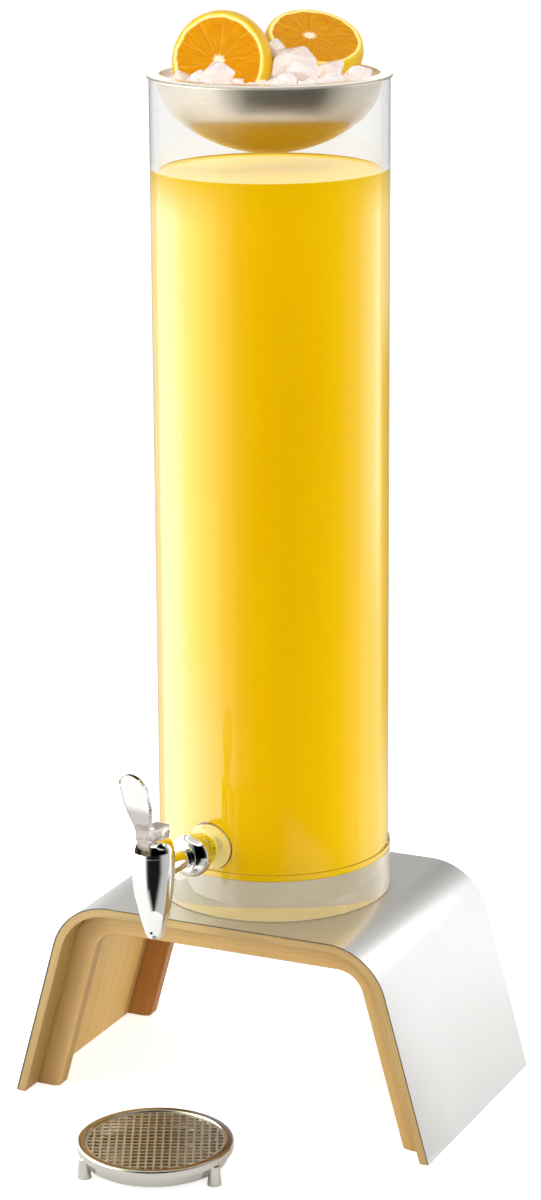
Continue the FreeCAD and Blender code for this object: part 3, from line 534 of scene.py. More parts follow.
@dataclass(frozen=True)
class Laminate:
    """Satin silver laminate with a very fine brushed grain."""

    name: str = "silver_laminate"
    tone: Colour = (0.66, 0.655, 0.645)

    def material(self) -> bpy.types.Material:
        """Build the finish.

        Returns:
            The material.
        """
        shader = Shader(self.name)
        way = shader.read("grain").outputs["Vector"]
        brush = shader.noise((2500.0, 10.0, 60.0), 3.0, 0.6, way)
        bright = tuple(min(1.0, part * 1.04) for part in self.tone)
        shader.set(
            Base_Color=shader.mottle(shader.noise(12.0, 2.0), self.tone, bright),
            Metallic=0.75,
            Roughness=shader.vary(brush, 0.27, 0.36),
        )
        shader.bump(brush, 0.1, 0.01)
        return shader.material


@dataclass(frozen=True)
class DarkEdge:
    """The dark core that shows on the laminate's cut edge."""

    name: str = "laminate_edge"
    dark: Colour = (0.035, 0.028, 0.02)
    light: Colour = (0.075, 0.06, 0.045)

    def material(self) -> bpy.types.Material:
        """Build the finish.

        Returns:
            The material.
        """
        shader = Shader(self.name)
        colour = shader.mottle(shader.noise(300.0), self.dark, self.light)
        shader.set(Base_Color=colour, Roughness=0.5)
        return shader.material


@dataclass(frozen=True)
class CitrusFlesh:
    """A cut orange: segments, membranes, a pale star, the pith and the rind's edge."""

    name: str
    placement: Matrix
    star: Point
    segments: int
    flesh: float
    pith: float = 30.0
    dark: Colour = (0.56, 0.195, 0.001)
    middle: Colour = (0.60, 0.24, 0.001)
    light: Colour = (0.67, 0.33, 0.003)
    membrane: Colour = (0.80, 0.42, 0.05)
    core: Colour = (0.93, 0.76, 0.52)
    white: Colour = (0.95, 0.78, 0.30)
    rind: Colour = (0.84, 0.56, 0.015)

    def material(self) -> bpy.types.Material:
        """Build the cut face in the fruit's own polar coordinates.

        Returns:
            The material.
        """
        shader = Shader(self.name)
        fruit = shader.tree.nodes.new("ShaderNodeMapping")
        fruit.vector_type = "TEXTURE"
        shader.feed(fruit.inputs["Vector"], shader.add("TexCoord").outputs["Object"])
        shader.feed(fruit.inputs["Location"], self.placement.to_translation())
        shader.feed(fruit.inputs["Rotation"], self.placement.to_euler())
        place = fruit.outputs["Vector"]
        parts = shader.add("SeparateXYZ", Vector=place).outputs
        across = shader.math("SUBTRACT", parts["X"], self.star[0] * MM)
        ahead = shader.math("SUBTRACT", parts["Y"], self.star[1] * MM)
        wobble = shader.noise(90.0, 2.0, source=place)
        sway = shader.spread(wobble, 0.2, 0.8, -0.9 * MM, 0.9 * MM)
        edge = shader.math("ADD", shader.length(parts["X"], parts["Y"]), sway)
        reach = shader.math("ADD", shader.length(across, ahead), sway)
        turn = shader.math("ARCTAN2", ahead, across)
        turn = shader.math("MULTIPLY", turn, self.segments / (2 * math.pi))
        turn = shader.math("ADD", turn, shader.spread(wobble, 0.2, 0.8, -0.12, 0.12))
        gap = shader.math("MULTIPLY", shader.math("PINGPONG", turn, 0.5), reach)
        gap = shader.math("MULTIPLY", gap, 2 * math.pi / self.segments)
        polar = shader.add("CombineXYZ", X=turn, Y=reach).outputs["Vector"]
        cells = shader.noise((5.0, 110.0, 1.0), 3.0, 0.6, polar)
        star = shader.math("ADD", reach, shader.math("MULTIPLY", gap, 1.1))
        colour = shader.ramp(cells, [(0.25, self.dark), (0.5, self.middle), (0.78, self.light)])
        for share, tone in (
            (shader.spread(gap, 0.1 * MM, 0.6 * MM, 0.38, 0.0), self.membrane),
            (shader.spread(star, 3.2 * MM, 5.6 * MM, 1.0, 0.0), self.core),
            (shader.spread(edge, self.flesh * MM, (self.flesh + 0.9) * MM), self.white),
            (shader.spread(edge, self.pith * MM, (self.pith + 0.9) * MM), self.rind),
        ):
            colour = shader.blend(share, colour, tone)
        shader.set(
            Base_Color=colour,
            Roughness=shader.vary(cells, 0.22, 0.42),
            Specular_IOR_Level=0.06,
        )
        height = shader.math("ADD", cells, shader.spread(gap, 0.0, 0.9 * MM, 0.0, 0.6))
        shader.bump(height, 0.35, 0.5)
        return shader.material


@dataclass(frozen=True)
class CitrusRind:
    """Waxy orange rind with pores."""

    name: str = "orange_rind"
    deep: Colour = (0.68, 0.35, 0.003)
    light: Colour = (0.67, 0.44, 0.008)

    def material(self) -> bpy.types.Material:
        """Build the rind.

        Returns:
            The material.
        """
        shader = Shader(self.name)
        pores = shader.add("TexVoronoi", Vector=shader.place(620.0), Scale=1.0)
        colour = shader.mottle(shader.noise(35.0), self.deep, self.light)
        shader.set(Base_Color=colour, Roughness=0.38, Specular_IOR_Level=0.35)
        shader.bump(shader.spread(pores.outputs["Distance"], 0.0, 0.5), 0.5, 0.25)
        return shader.material


@dataclass(frozen=True)
class Ice:
    """Frosted ice that passes some light."""

    name: str = "frosted_ice"
    shaded: Colour = (0.69, 0.61, 0.58)
    light: Colour = (0.80, 0.73, 0.70)

    def material(self) -> bpy.types.Material:
        """Build the ice.

        Returns:
            The material.
        """
        shader = Shader(self.name)
        crack = shader.noise(55.0, 5.0, 0.7)
        shader.set(
            Base_Color=shader.mottle(crack, self.shaded, self.light),
            Roughness=shader.vary(shader.noise(160.0, 4.0, 0.6), 0.12, 0.4),
            Transmission_Weight=0.14,
            IOR=1.31,
            Subsurface_Weight=0.8,
            Subsurface_Radius=(1.0, 0.95, 0.93),
            Subsurface_Scale=9 * MM,
        )
        shader.bump(crack, 0.14, 0.6)
        return shader.material


class Finishes:
    """The materials of the dispenser, each built once."""

    def __init__(self) -> None:
        """Build them all."""
        self.acrylic = ClearPlastic("polished_acrylic", (0.99, 0.99, 0.985), 0.006).material()
        self.lever = LeverPlastic().material()
        self.nut = ClearPlastic("moulded_nut", (0.95, 0.94, 0.90), 0.3).material()
        self.chrome = Metal("mirror_chrome", (0.83, 0.83, 0.82), 0.02, 0.05).material()
        self.steel = Metal("polished_steel", (0.54, 0.52, 0.475), 0.10, 0.17, lift=0.01).material()
        self.spun = Metal(
            "spun_steel", (0.84, 0.77, 0.665), 0.26, 0.33, grain=(20.0, 20.0, 900.0), lift=0.002
        ).material()
        self.mesh = Metal("pressed_steel", (0.80, 0.77, 0.71), 0.28, 0.38, grain=200.0).material()
        self.silicone = Silicone().material()
        stained = Silicone("silicone_in_juice", low=(0.90, 0.68, 0.16), high=(0.94, 0.76, 0.28))
        self.stained = stained.material()
        self.juice = Juice().material()
        # The surface's glow is painted light, and its pale colour at grazing view is a painted
        # sheen.
        self.surface = Juice(
            "juice_surface",
            deep=(0.50, 0.28, 0.001),
            light=(0.53, 0.30, 0.002),
            aslant_sheen=(0.95, 0.68, 0.08),
            aslant=(0.35, 0.75),
            shine=0.25,
            roughness=0.12,
            glow=0.24,
        ).material()
        self.bamboo = BentWood(
            "bamboo_face",
            dark=(0.48, 0.30, 0.095),
            middle=(0.59, 0.385, 0.13),
            light=(0.68, 0.47, 0.18),
            layer=1.5,
            # Painted shade on the inner strip in front of the front rib.
            groove_shade_to=-13.5,
        ).material()
        self.ply_edge = BentWood(
            "bamboo_edge",
            dark=(0.26, 0.155, 0.045),
            middle=(0.36, 0.23, 0.078),
            light=(0.46, 0.32, 0.13),
            layer=1.5,
        ).material()
        self.rib = BentWood(
            "rib_wood",
            dark=(0.40, 0.235, 0.066),
            middle=(0.465, 0.285, 0.09),
            light=(0.53, 0.345, 0.12),
            layer=9.0,
            # Painted shade in the rib's corner on the left leg.
            corner=(7.0, 24.0),
        ).material()
        # The rear rib is the rib's wood made darker and redder: painted shade, as it stands in
        # shadow under the stand.
        self.shaded_rear_rib = BentWood(
            "rear_rib_wood",
            dark=(0.28, 0.105, 0.02),
            middle=(0.345, 0.135, 0.026),
            light=(0.40, 0.175, 0.038),
            layer=9.0,
        ).material()
        self.laminate = Laminate().material()
        self.edge = DarkEdge().material()
        self.rind = CitrusRind().material()
        self.ice = Ice().material()


# Mesh building


@dataclass(frozen=True)
class Corner:
    """A corner of a turned profile in millimetres, and the radius that softens it."""

    r: float
    z: float
    soft: float = 0.0


def softened(corners: list[Corner], closed: bool = False, steps: int = 5) -> list[Point]:
    """Round the corners of a profile.

    Args:
        corners: The profile's corners in order.
        closed: True if the last corner joins the first.
        steps: Points on each rounding.

    Returns:
        The rounded profile's points in millimetres.
    """
    points: list[Point] = []
    count = len(corners)
    for index, corner in enumerate(corners):
        here = Vector((corner.r, corner.z))
        at_end = not closed and index in (0, count - 1)
        if corner.soft <= 0 or at_end:
            points.append((here.x, here.y))
            continue
        back = corners[index - 1]
        ahead = corners[(index + 1) % count]
        to_back = (Vector((back.r, back.z)) - here).normalized()
        to_ahead = (Vector((ahead.r, ahead.z)) - here).normalized()
        half = to_back.angle(to_ahead) / 2
        reach = corner.soft / math.tan(half)
        middle = here + (to_back + to_ahead).normalized() * (corner.soft / math.sin(half))
        first = here + to_back * reach - middle
        last = here + to_ahead * reach - middle
        swing = first.angle_signed(last)
        for step in range(steps + 1):
            spoke = first.copy()
            spoke.rotate(Matrix.Rotation(-swing * step / steps, 2))
            points.append((middle.x + spoke.x, middle.y + spoke.y))
    return points


def arc(centre: Point, radius: float, start: float, end: float, steps: int) -> list[Corner]:
    """Corners on an arc.

    Args:
        centre: Its centre in millimetres.
        radius: Its radius in millimetres.
        start: The first angle in degrees, from the profile's outward direction.
        end: The last angle in degrees.
        steps: How many pieces it has.

    Returns:
        The corners from start to end.
    """
    r, z = centre
    angles = [math.radians(start + (end - start) * step / steps) for step in range(steps + 1)]
    return [Corner(r + radius * math.cos(a), z + radius * math.sin(a)) for a in angles]


def bulge(first: Point, last: Point, radius: float, steps: int) -> list[Corner]:
    """An arc that bulges outward between two points of a profile.

    Args:
        first: Its first point in millimetres, the outer one.
        last: Its last point, nearer the axis and further along it.
        radius: Its radius in millimetres.
        steps: How many pieces it has.

    Returns:
        The corners from first to last.
    """
    across, along = first[0] - last[0], last[1] - first[1]
    half = Vector((first[0] - across / 2, first[1] + along / 2))
    inward = Vector((-along, -across)).normalized()
    middle = half + inward * math.sqrt(radius**2 - math.hypot(across, along) ** 2 / 4)
    start, end = (math.degrees(math.atan2(z - middle.y, r - middle.x)) for r, z in (first, last))
    return arc((middle.x, middle.y), radius, start, end, steps)


def mesh_of(shape: bmesh.types.BMesh, name: str) -> bpy.types.Mesh:
    """Turn an edited shape into a mesh, and let go of it.

    Args:
        shape: The shape, which is used up.
        name: The mesh's name.

    Returns:
        The mesh.
    """
    mesh = bpy.data.meshes.new(name)
    shape.to_mesh(mesh)
    shape.free()
    return mesh


def bridge(
    shape: bmesh.types.BMesh, near: list[bmesh.types.BMVert], far: list[bmesh.types.BMVert]
) -> list[bmesh.types.BMFace]:
    """Join two closed rings, of which one may be a single point, by a band of faces.

    Args:
        shape: The shape that holds them.
        near: The first ring.
        far: The second ring.

    Returns:
        The faces of the band.
    """
    count = max(len(near), len(far))
    faces = []
    for step in range(count):
        after = (step + 1) % count
        corners = [near[number % len(near)] for number in (step, after)]
        corners += [far[number % len(far)] for number in (after, step)]
        faces.append(shape.faces.new(list(dict.fromkeys(corners))))
    return faces


def make_object(
    name: str, mesh: bpy.types.Mesh, *materials: bpy.types.Material
) -> bpy.types.Object:
    """Put a mesh into the scene.

    Args:
        name: The piece's name.
        mesh: Its mesh.
        materials: Its materials in slot order.

    Returns:
        The new object.
    """
    piece = bpy.data.objects.new(name, mesh)
    bpy.context.scene.collection.objects.link(piece)
    for material in materials:
        mesh.materials.append(material)
    return piece


def settle(piece: bpy.types.Object) -> None:
    """Turn a piece's modifiers into its mesh.

    Args:
        piece: The piece.
    """
    bpy.context.view_layer.update()
    graph = bpy.context.evaluated_depsgraph_get()
    made = bpy.data.meshes.new_from_object(
        piece.evaluated_get(graph), preserve_all_data_layers=True, depsgraph=graph
    )
    piece.modifiers.clear()
    piece.data = made


def smooth(piece: bpy.types.Object, degrees: float = 32.0) -> bpy.types.Object:
    """Shade a piece smooth, and keep its flat faces flat.

    Args:
        piece: The piece.
        degrees: The least turn that stays a sharp edge.

    Returns:
        The same piece.
    """
    piece.data.polygons.foreach_set("use_smooth", [True] * len(piece.data.polygons))
    piece.data.set_sharp_from_angle(angle=math.radians(degrees))
    flats = piece.modifiers.new("flats", "WEIGHTED_NORMAL")
    flats.mode = "FACE_AREA"
    flats.keep_sharp = True
    settle(piece)
    return piece


def turned_mesh(
    name: str, points: list[Point], segments: int, closed: bool = False
) -> bpy.types.Mesh:
    """Turn a profile about Z.

    Args:
        name: The mesh's name.
        points: Profile points (radius, height) in millimetres.
        segments: Steps round the axis.
        closed: True for a ring whose profile closes on itself off the axis.

    Returns:
        The mesh in metres.
    """
    shape = bmesh.new()
    turns = [2 * math.pi * step / segments for step in range(segments)]
    rings = []
    for radius, height in points:
        spots = [(radius * MM * math.cos(a), radius * MM * math.sin(a), height * MM) for a in turns]
        if radius < 1e-6:
            spots = [(0.0, 0.0, height * MM)]
        rings.append([shape.verts.new(spot) for spot in spots])
    if closed:
        rings.append(rings[0])
    for near, far in zip(rings, rings[1:]):
        bridge(shape, near, far)
    bmesh.ops.recalc_face_normals(shape, faces=shape.faces)
    return mesh_of(shape, name)


def rod_mesh(
    radius: float, start: float, end: float, segments: int, place: Matrix
) -> bpy.types.Mesh:
    """A round rod, for cutting.

    Args:
        radius: Its radius in millimetres.
        start: Where it starts along Z, in millimetres.
        end: Where it ends.
        segments: Steps round it.
        place: Moves it to its place.

    Returns:
        The mesh in metres.
    """
    mesh = turned_mesh("rod", [(0.0, start), (radius, start), (radius, end), (0.0, end)], segments)
    mesh.transform(place)
    return mesh


def combine(
    piece: bpy.types.Object, tool_mesh: bpy.types.Mesh, operation: Cut = Cut.AWAY
) -> None:
    """Cut a mesh from a piece, or add it.

    Args:
        piece: The piece that changes.
        tool_mesh: The other mesh, in the piece's own coordinates. It is used up.
        operation: Whether it is cut away or joined.
    """
    tool = bpy.data.objects.new("tool", tool_mesh)
    bpy.context.scene.collection.objects.link(tool)
    change = piece.modifiers.new("combine", "BOOLEAN")
    change.operation = operation.value
    change.solver = "EXACT"
    change.object = tool
    settle(piece)
    bpy.data.objects.remove(tool)


def box_mesh(low: Triple, high: Triple) -> bpy.types.Mesh:
    """A box, for cutting.

    Args:
        low: Its lowest corner in millimetres.
        high: Its highest corner in millimetres.

    Returns:
        The mesh in metres.
    """
    shape = bmesh.new()
    bmesh.ops.create_cube(shape, size=1.0)
    size = [(b - a) * MM for a, b in zip(low, high)]
    middle = [(a + b) / 2 * MM for a, b in zip(low, high)]
    shape.transform(Matrix.Translation(middle) @ Matrix.Diagonal((*size, 1.0)))
    return mesh_of(shape, "box")


def finish_piece(
    piece: bpy.types.Object, body: Body, slot: Slot | None = None, *nodes: str
) -> bpy.types.Object:
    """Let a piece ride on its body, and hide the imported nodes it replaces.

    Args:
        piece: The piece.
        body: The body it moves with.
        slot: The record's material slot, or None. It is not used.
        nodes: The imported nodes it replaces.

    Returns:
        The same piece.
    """
    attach(piece, body.value)
    if nodes:
        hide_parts(*nodes)
    return piece


def dress(frame: dict, node: str, material: bpy.types.Material) -> None:
    """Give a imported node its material.

    Args:
        frame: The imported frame.
        node: The node's name.
        material: Its material.
    """
    mesh = frame["nodes"][node].data
    mesh.materials.clear()
    mesh.materials.append(material)


# Sub-assemblies


@dataclass
class Stand:
    """The bent ply stand with its laminate and two ribs."""

    half_width: float = 157.7
    height: float = 147.5
    splay: float = 15.67
    bend: float = 44.5
    skin: float = 0.8
    skin_foot: float = 0.5
    ply: float = 5.9
    rib_depth: float = 18.2
    rib_thickness: float = 10.0
    rib_inset: float = 17.7
    rib_corner: float = 3.0
    front: float = -31.25
    rear: float = 156.75
    glue: float = 0.01
    rib_glue: float = 0.03
    setback: float = 0.2
    ply_edge: float = 0.5
    skin_edge: float = 0.12
    rib_edge: float = 1.0
    top_steps: int = 8
    bend_steps: int = 32
    leg_steps: int = 10

    def half_line(self) -> list[tuple[Vector, Vector, float]]:
        """The right half of the outside line.

        Returns:
            Places from the middle to the floor: a point, its outward direction, and the share
            of the leg above it.
        """
        lean = math.radians(self.splay)
        drop = self.height - self.bend
        centre = self.half_width - (self.bend + drop * math.sin(lean)) / math.cos(lean)
        across = [centre * step / self.top_steps for step in range(self.top_steps)]
        line = [(Vector((x, self.height)), Vector((0.0, 1.0)), 0.0) for x in across]
        for step in range(self.bend_steps + 1):
            angle = math.pi / 2 - (math.pi / 2 - lean) * step / self.bend_steps
            out = Vector((math.cos(angle), math.sin(angle)))
            line.append((Vector((centre, drop)) + out * self.bend, out, 0.0))
        place, out, _ = line[-1]
        line += [(place, out, step / self.leg_steps) for step in range(1, self.leg_steps + 1)]
        return line

    @staticmethod
    def levels(start: float, depth: float, edge: float) -> list[Point]:
        """Steps through a layer, from its outside inwards.

        Args:
            start: How far in from the outside it starts, in millimetres.
            depth: How thick it is.
            edge: The rounding of its long edges.

        Returns:
            How far in each step is, and how far the rounding pulls the sides in there.
        """
        steps = [edge * (1 - math.cos(math.radians(a))) for a in (0, 30, 60, 90)]
        inside = [depth - step for step in reversed(steps)]
        middle = [edge + (depth - 2 * edge) * share for share in (0.25, 0.5, 0.75)]
        result = []
        for step in steps + middle + inside:
            past = max(edge - min(step, depth - step), 0.0)
            result.append((start + step, edge - math.sqrt(max(edge**2 - past**2, 0.0))))
        return result

    def bent_mesh(
        self,
        name: str,
        start: float,
        depth: float,
        low: float,
        high: float,
        edge: float,
        foot: Callable[[float], float],
    ) -> bpy.types.Mesh:
        """A layer that follows the bend.

        Args:
            name: The mesh's name.
            start: How far in from the outside it starts, in millimetres.
            depth: How thick it is.
            low: Its front, along Y.
            high: Its rear, along Y.
            edge: The rounding of its long edges.
            foot: The height of its foot at a depth from the outside.

        Returns:
            The mesh, with the grain attribute: along the bend, into it and across it.
        """
        levels = self.levels(start, depth, edge)
        section = [(inward, low + pull) for inward, pull in levels]
        section += [(inward, high - pull) for inward, pull in reversed(levels)]
        line = self.half_line()
        whole = [(place, out, share, -1.0) for place, out, share in reversed(line[1:])]
        whole += [(place, out, share, 1.0) for place, out, share in line]
        lean = math.radians(self.splay)
        down = Vector((math.sin(lean), -math.cos(lean)))
        shape = bmesh.new()
        grain = shape.verts.layers.float_vector.new("grain")
        rings = []
        for place, out, share, side in whole:
            ring = []
            for inward, y in section:
                spot = place - out * inward
                length = (spot.y - foot(inward)) / math.cos(lean) * share
                spot = spot + down * length
                vert = shape.verts.new((spot.x * side * MM, y * MM, spot.y * MM))
                travel = place.x + (math.pi / 2 - math.atan2(out.y, out.x)) * self.bend + length
                vert[grain] = Vector((side * travel * MM, inward * MM, y * MM))
                ring.append(vert)
            rings.append(ring)
        for near, far in zip(rings, rings[1:]):
            bridge(shape, near, far)
        count = len(section)
        for ring in (rings[0], rings[-1]):
            for step in range(count // 2 - 1):
                across = count - 1 - step
                shape.faces.new((ring[step], ring[step + 1], ring[across - 1], ring[across]))
        bmesh.ops.recalc_face_normals(shape, faces=shape.faces)
        return mesh_of(shape, name)

    def rib_foot(self, inward: float) -> float:
        """The height of a rib's foot, whose inner corner is rounded.

        Args:
            inward: How far in from the stand's outside, in millimetres.

        Returns:
            The height in millimetres.
        """
        past = inward - (self.skin + self.ply + self.rib_glue + self.rib_depth - self.rib_corner)
        if past <= 0:
            return 0.0
        return self.rib_corner - math.sqrt(max(self.rib_corner**2 - past**2, 0.0))

    def build(self, finishes: Finishes) -> list[bpy.types.Object]:
        """Build the ply, the laminate and the ribs.

        Args:
            finishes: The materials.

        Returns:
            The pieces.
        """
        start = self.skin + self.glue
        low, high = self.front + self.setback, self.rear - self.setback
        ply = self.bent_mesh("ply", start, self.ply, low, high, self.ply_edge, lambda inward: 0.0)
        shell = smooth(make_object("ply_shell", ply, finishes.bamboo, finishes.ply_edge))
        skin = self.bent_mesh(
            "skin",
            0.0,
            self.skin,
            self.front,
            self.rear,
            self.skin_edge,
            lambda inward: self.skin_foot,
        )
        cover = smooth(make_object("laminate_cover", skin, finishes.laminate, finishes.edge))
        for face in shell.data.polygons:
            face.material_index = int(abs(face.normal.y) > 0.5)
        for face in cover.data.polygons:
            face.material_index = int(abs(face.normal.y) > 0.5 or face.normal.z < -0.9)
        pieces = [
            finish_piece(shell, Body.STAND, Slot.BAMBOO, "stand_shell"),
            finish_piece(cover, Body.STAND, Slot.LAMINATE, "stand_skin"),
        ]
        start = self.skin + self.ply + self.rib_glue
        for name, low, wood in (
            ("rib_front", self.front + self.rib_inset, finishes.rib),
            ("rib_rear", self.rear - self.rib_inset - self.rib_thickness, finishes.shaded_rear_rib),
        ):
            high, edge = low + self.rib_thickness, self.rib_edge
            mesh = self.bent_mesh(name, start, self.rib_depth, low, high, edge, self.rib_foot)
            rib = smooth(make_object(name + "_wood", mesh, wood))
            pieces.append(finish_piece(rib, Body.STAND, Slot.RIB, name))
        return pieces


@dataclass
class Tap:
    """The chrome tap, its clamping flange and its lever, turned a little from straight ahead."""

    turn: float = -10.0
    tank_y: float = 65.55
    reach: float = 141.5
    axis_height: float = 196.5
    body_radius: float = 14.5
    taper: float = 150.0
    straight_top: float = 202.0
    seam: float = 210.4
    spout: float = 151.0
    spout_bore: float = 4.6
    seat: float = 175.7
    chamber: float = 9.8
    spigot_radius: float = 11.6
    spigot: float = 7.0
    cap_top: float = 221.5
    cap_top_radius: float = 7.6
    cap_curve: float = 9.0
    cap_shoulder: float = 213.4
    slot_floor: float = 212.8
    slot_half: float = 5.8
    stem_guide: float = 2.1
    diaphragm: float = 208.4
    shank_radius: float = 7.0
    flange_rear: float = 96.0
    flange_radius: float = 15.0
    flange_band: float = 3.8
    flange_length: float = 11.2
    flange_nose: float = 9.5
    flange_curve: float = 9.6
    vent_turn: float = 21.0
    spring_foot: float = 188.0
    spring_top: float = 208.3
    stem_travel: float = 2.3
    socket: float = 7.05
    vent_radius: float = 1.1
    vent_rise: float = 5.0
    pivot_out: float = 6.3
    pivot_height: float = 218.5
    pivot_hole: float = 2.52
    bevel: float = 0.15
    seam_gap: float = 0.03
    spigot_gap: float = 0.1
    spigot_wall: float = 1.5
    inlet_from: float = 8.0
    vent_from: float = 5.0
    cut_to: float = 30.0
    slot_reach: float = 20.0
    slot_ceiling: float = 230.0
    pin_reach: float = 16.0
    segments: int = 128
    side_steps: int = 24
    dome_steps: int = 14

    LIP = ((-0.9, 0.0), (-0.35, 0.12), (0.02, 0.55))

    def stand_place(self) -> Matrix:
        """Find where the tap's own axis stands, with its turn.

        Returns:
            The move from the tap's own axis to its place.
        """
        angle = math.radians(self.turn)
        x = math.sin(angle) * self.reach * MM
        y = (self.tank_y - math.cos(angle) * self.reach) * MM
        return Matrix.Translation((x, y, 0.0)) @ Matrix.Rotation(angle, 4, "Z")

    def lying_place(self) -> Matrix:
        """Find the shank's axis.

        Returns:
            The move that points a turned profile's Z out from the tank's axis.
        """
        angle = math.radians(self.turn)
        base = Matrix.Translation((0.0, self.tank_y * MM, self.axis_height * MM))
        return base @ Matrix.Rotation(angle, 4, "Z") @ Matrix.Rotation(math.pi / 2, 4, "X")

    def chrome_piece(
        self,
        node: str,
        profile: list[Corner],
        place: Matrix,
        finishes: Finishes,
        *cutters: bpy.types.Mesh,
    ) -> bpy.types.Object:
        """Turn and cut one of the chrome pieces.

        Args:
            node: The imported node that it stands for.
            profile: Its closed profile.
            place: Moves it to its place.
            finishes: The materials.
            cutters: What is cut out of it, before it moves.

        Returns:
            The piece.
        """
        mesh = turned_mesh(node, softened(profile, closed=True), self.segments, closed=True)
        piece = make_object(node + "_chrome", mesh, finishes.chrome)
        for cutter in cutters:
            combine(piece, cutter)
        piece.data.transform(place)
        return finish_piece(smooth(piece), Body.TANK, Slot.CHROME, node)

    def body(self, finishes: Finishes) -> bpy.types.Object:
        """The tapered body with its bore, inlet and vent.

        Args:
            finishes: The materials.

        Returns:
            The piece.
        """
        start = -math.degrees(math.asin((self.straight_top - self.spout) / self.taper))
        centre = (self.body_radius - self.taper, self.straight_top)
        side = arc(centre, self.taper, start, 0.0, self.side_steps)
        spigot_foot = self.seam - self.spigot
        profile = [
            *(Corner(side[0].r + out, side[0].z + up) for out, up in self.LIP),
            *side[1:],
            Corner(self.body_radius, self.seam - self.bevel),
            Corner(self.body_radius - self.bevel, self.seam),
            Corner(self.spigot_radius, self.seam),
            Corner(self.spigot_radius, spigot_foot),
            Corner(self.chamber, spigot_foot),
            Corner(self.chamber, self.seat, 1.0),
            Corner(self.spout_bore, self.seat, 0.6),
            Corner(self.spout_bore, self.spout, 0.4),
        ]
        back, ahead = (Matrix.Rotation(turn * math.pi / 2, 4, "X") for turn in (-1, 1))
        axis = Matrix.Translation((0.0, 0.0, self.axis_height * MM))
        inlet = rod_mesh(self.socket, self.inlet_from, self.cut_to, segments=64, place=axis @ back)
        low = Matrix.Translation((0.0, 0.0, (self.spout + self.vent_rise) * MM))
        aside = Matrix.Rotation(math.radians(self.vent_turn), 4, "Z") @ ahead
        drill = (self.vent_radius, self.vent_from, self.cut_to)
        vent = rod_mesh(*drill, segments=32, place=low @ aside)
        return self.chrome_piece("tap_body", profile, self.stand_place(), finishes, inlet, vent)

    def cap(self, finishes: Finishes) -> bpy.types.Object:
        """The domed cap with the slot that the lever tips in.

        Args:
            finishes: The materials.

        Returns:
            The piece.
        """
        spigot = self.spigot_radius - self.spigot_gap
        spigot_foot = self.seam - self.spigot + self.spigot_gap
        foot = self.seam + self.seam_gap
        shoulder, crown = (self.body_radius, self.cap_shoulder), (self.cap_top_radius, self.cap_top)
        profile = [
            Corner(self.stem_guide, self.diaphragm),
            Corner(spigot - self.spigot_wall, self.diaphragm),
            Corner(spigot - self.spigot_wall, spigot_foot),
            Corner(spigot, spigot_foot),
            Corner(spigot, foot),
            Corner(self.body_radius - self.bevel, foot),
            Corner(self.body_radius, foot + self.bevel),
            *bulge(shoulder, crown, self.cap_curve, self.dome_steps),
            Corner(self.stem_guide, self.cap_top),
        ]
        low = (-self.slot_half, -self.slot_reach, self.slot_floor)
        slot = box_mesh(low, (self.slot_half, self.slot_reach, self.slot_ceiling))
        pivot = Matrix.Translation((0.0, -self.pivot_out * MM, self.pivot_height * MM))
        pivot @= Matrix.Rotation(math.pi / 2, 4, "Y")
        pin = rod_mesh(self.pivot_hole, -self.pin_reach, self.pin_reach, segments=48, place=pivot)
        return self.chrome_piece("tap_cap", profile, self.stand_place(), finishes, slot, pin)

    def flange(self, finishes: Finishes) -> bpy.types.Object:
        """The domed flange that clamps against the boss.

        Args:
            finishes: The materials.

        Returns:
            The piece.
        """
        front = self.flange_rear + self.flange_length
        band = (self.flange_radius, self.flange_rear + self.flange_band)
        hole = self.shank_radius + self.bevel
        profile = [
            Corner(hole, self.flange_rear),
            Corner(self.flange_radius, self.flange_rear, 0.5),
            *bulge(band, (self.flange_nose, front), self.flange_curve, self.dome_steps),
            Corner(hole, front, 0.4),
        ]
        return self.chrome_piece("tap_flange", profile, self.lying_place(), finishes)

    def spring(self, frame: dict, finishes: Finishes) -> bpy.types.Object:
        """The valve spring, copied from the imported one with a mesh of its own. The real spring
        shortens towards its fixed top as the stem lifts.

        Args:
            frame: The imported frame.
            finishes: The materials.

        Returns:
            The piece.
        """
        wire = frame["nodes"]["valve_spring"].data.copy()
        wire.materials.clear()
        piece = smooth(make_object("valve_spring_wire", wire, finishes.steel))
        finish_piece(piece, Body.TANK, Slot.STEEL, "valve_spring")
        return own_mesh(piece)

    def build(self, frame: dict, finishes: Finishes) -> list[bpy.types.Object]:
        """Build the chrome pieces and dress the small ones.

        Args:
            frame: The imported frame.
            finishes: The materials.

        Returns:
            The new pieces.
        """
        for node, material in (
            ("tap_shank", finishes.chrome),
            ("shank_washer", finishes.silicone),
            ("inner_gasket", finishes.stained),
            ("shank_nut", finishes.nut),
            ("pivot_pin", finishes.steel),
            ("valve_stem", finishes.steel),
            ("stem_pin", finishes.steel),
            ("seat_cup", finishes.silicone),
            ("tap_lever", finishes.lever),
        ):
            dress(frame, node, material)
        chrome = [make(finishes) for make in (self.body, self.cap, self.flange)]
        return [*chrome, self.spring(frame, finishes)]


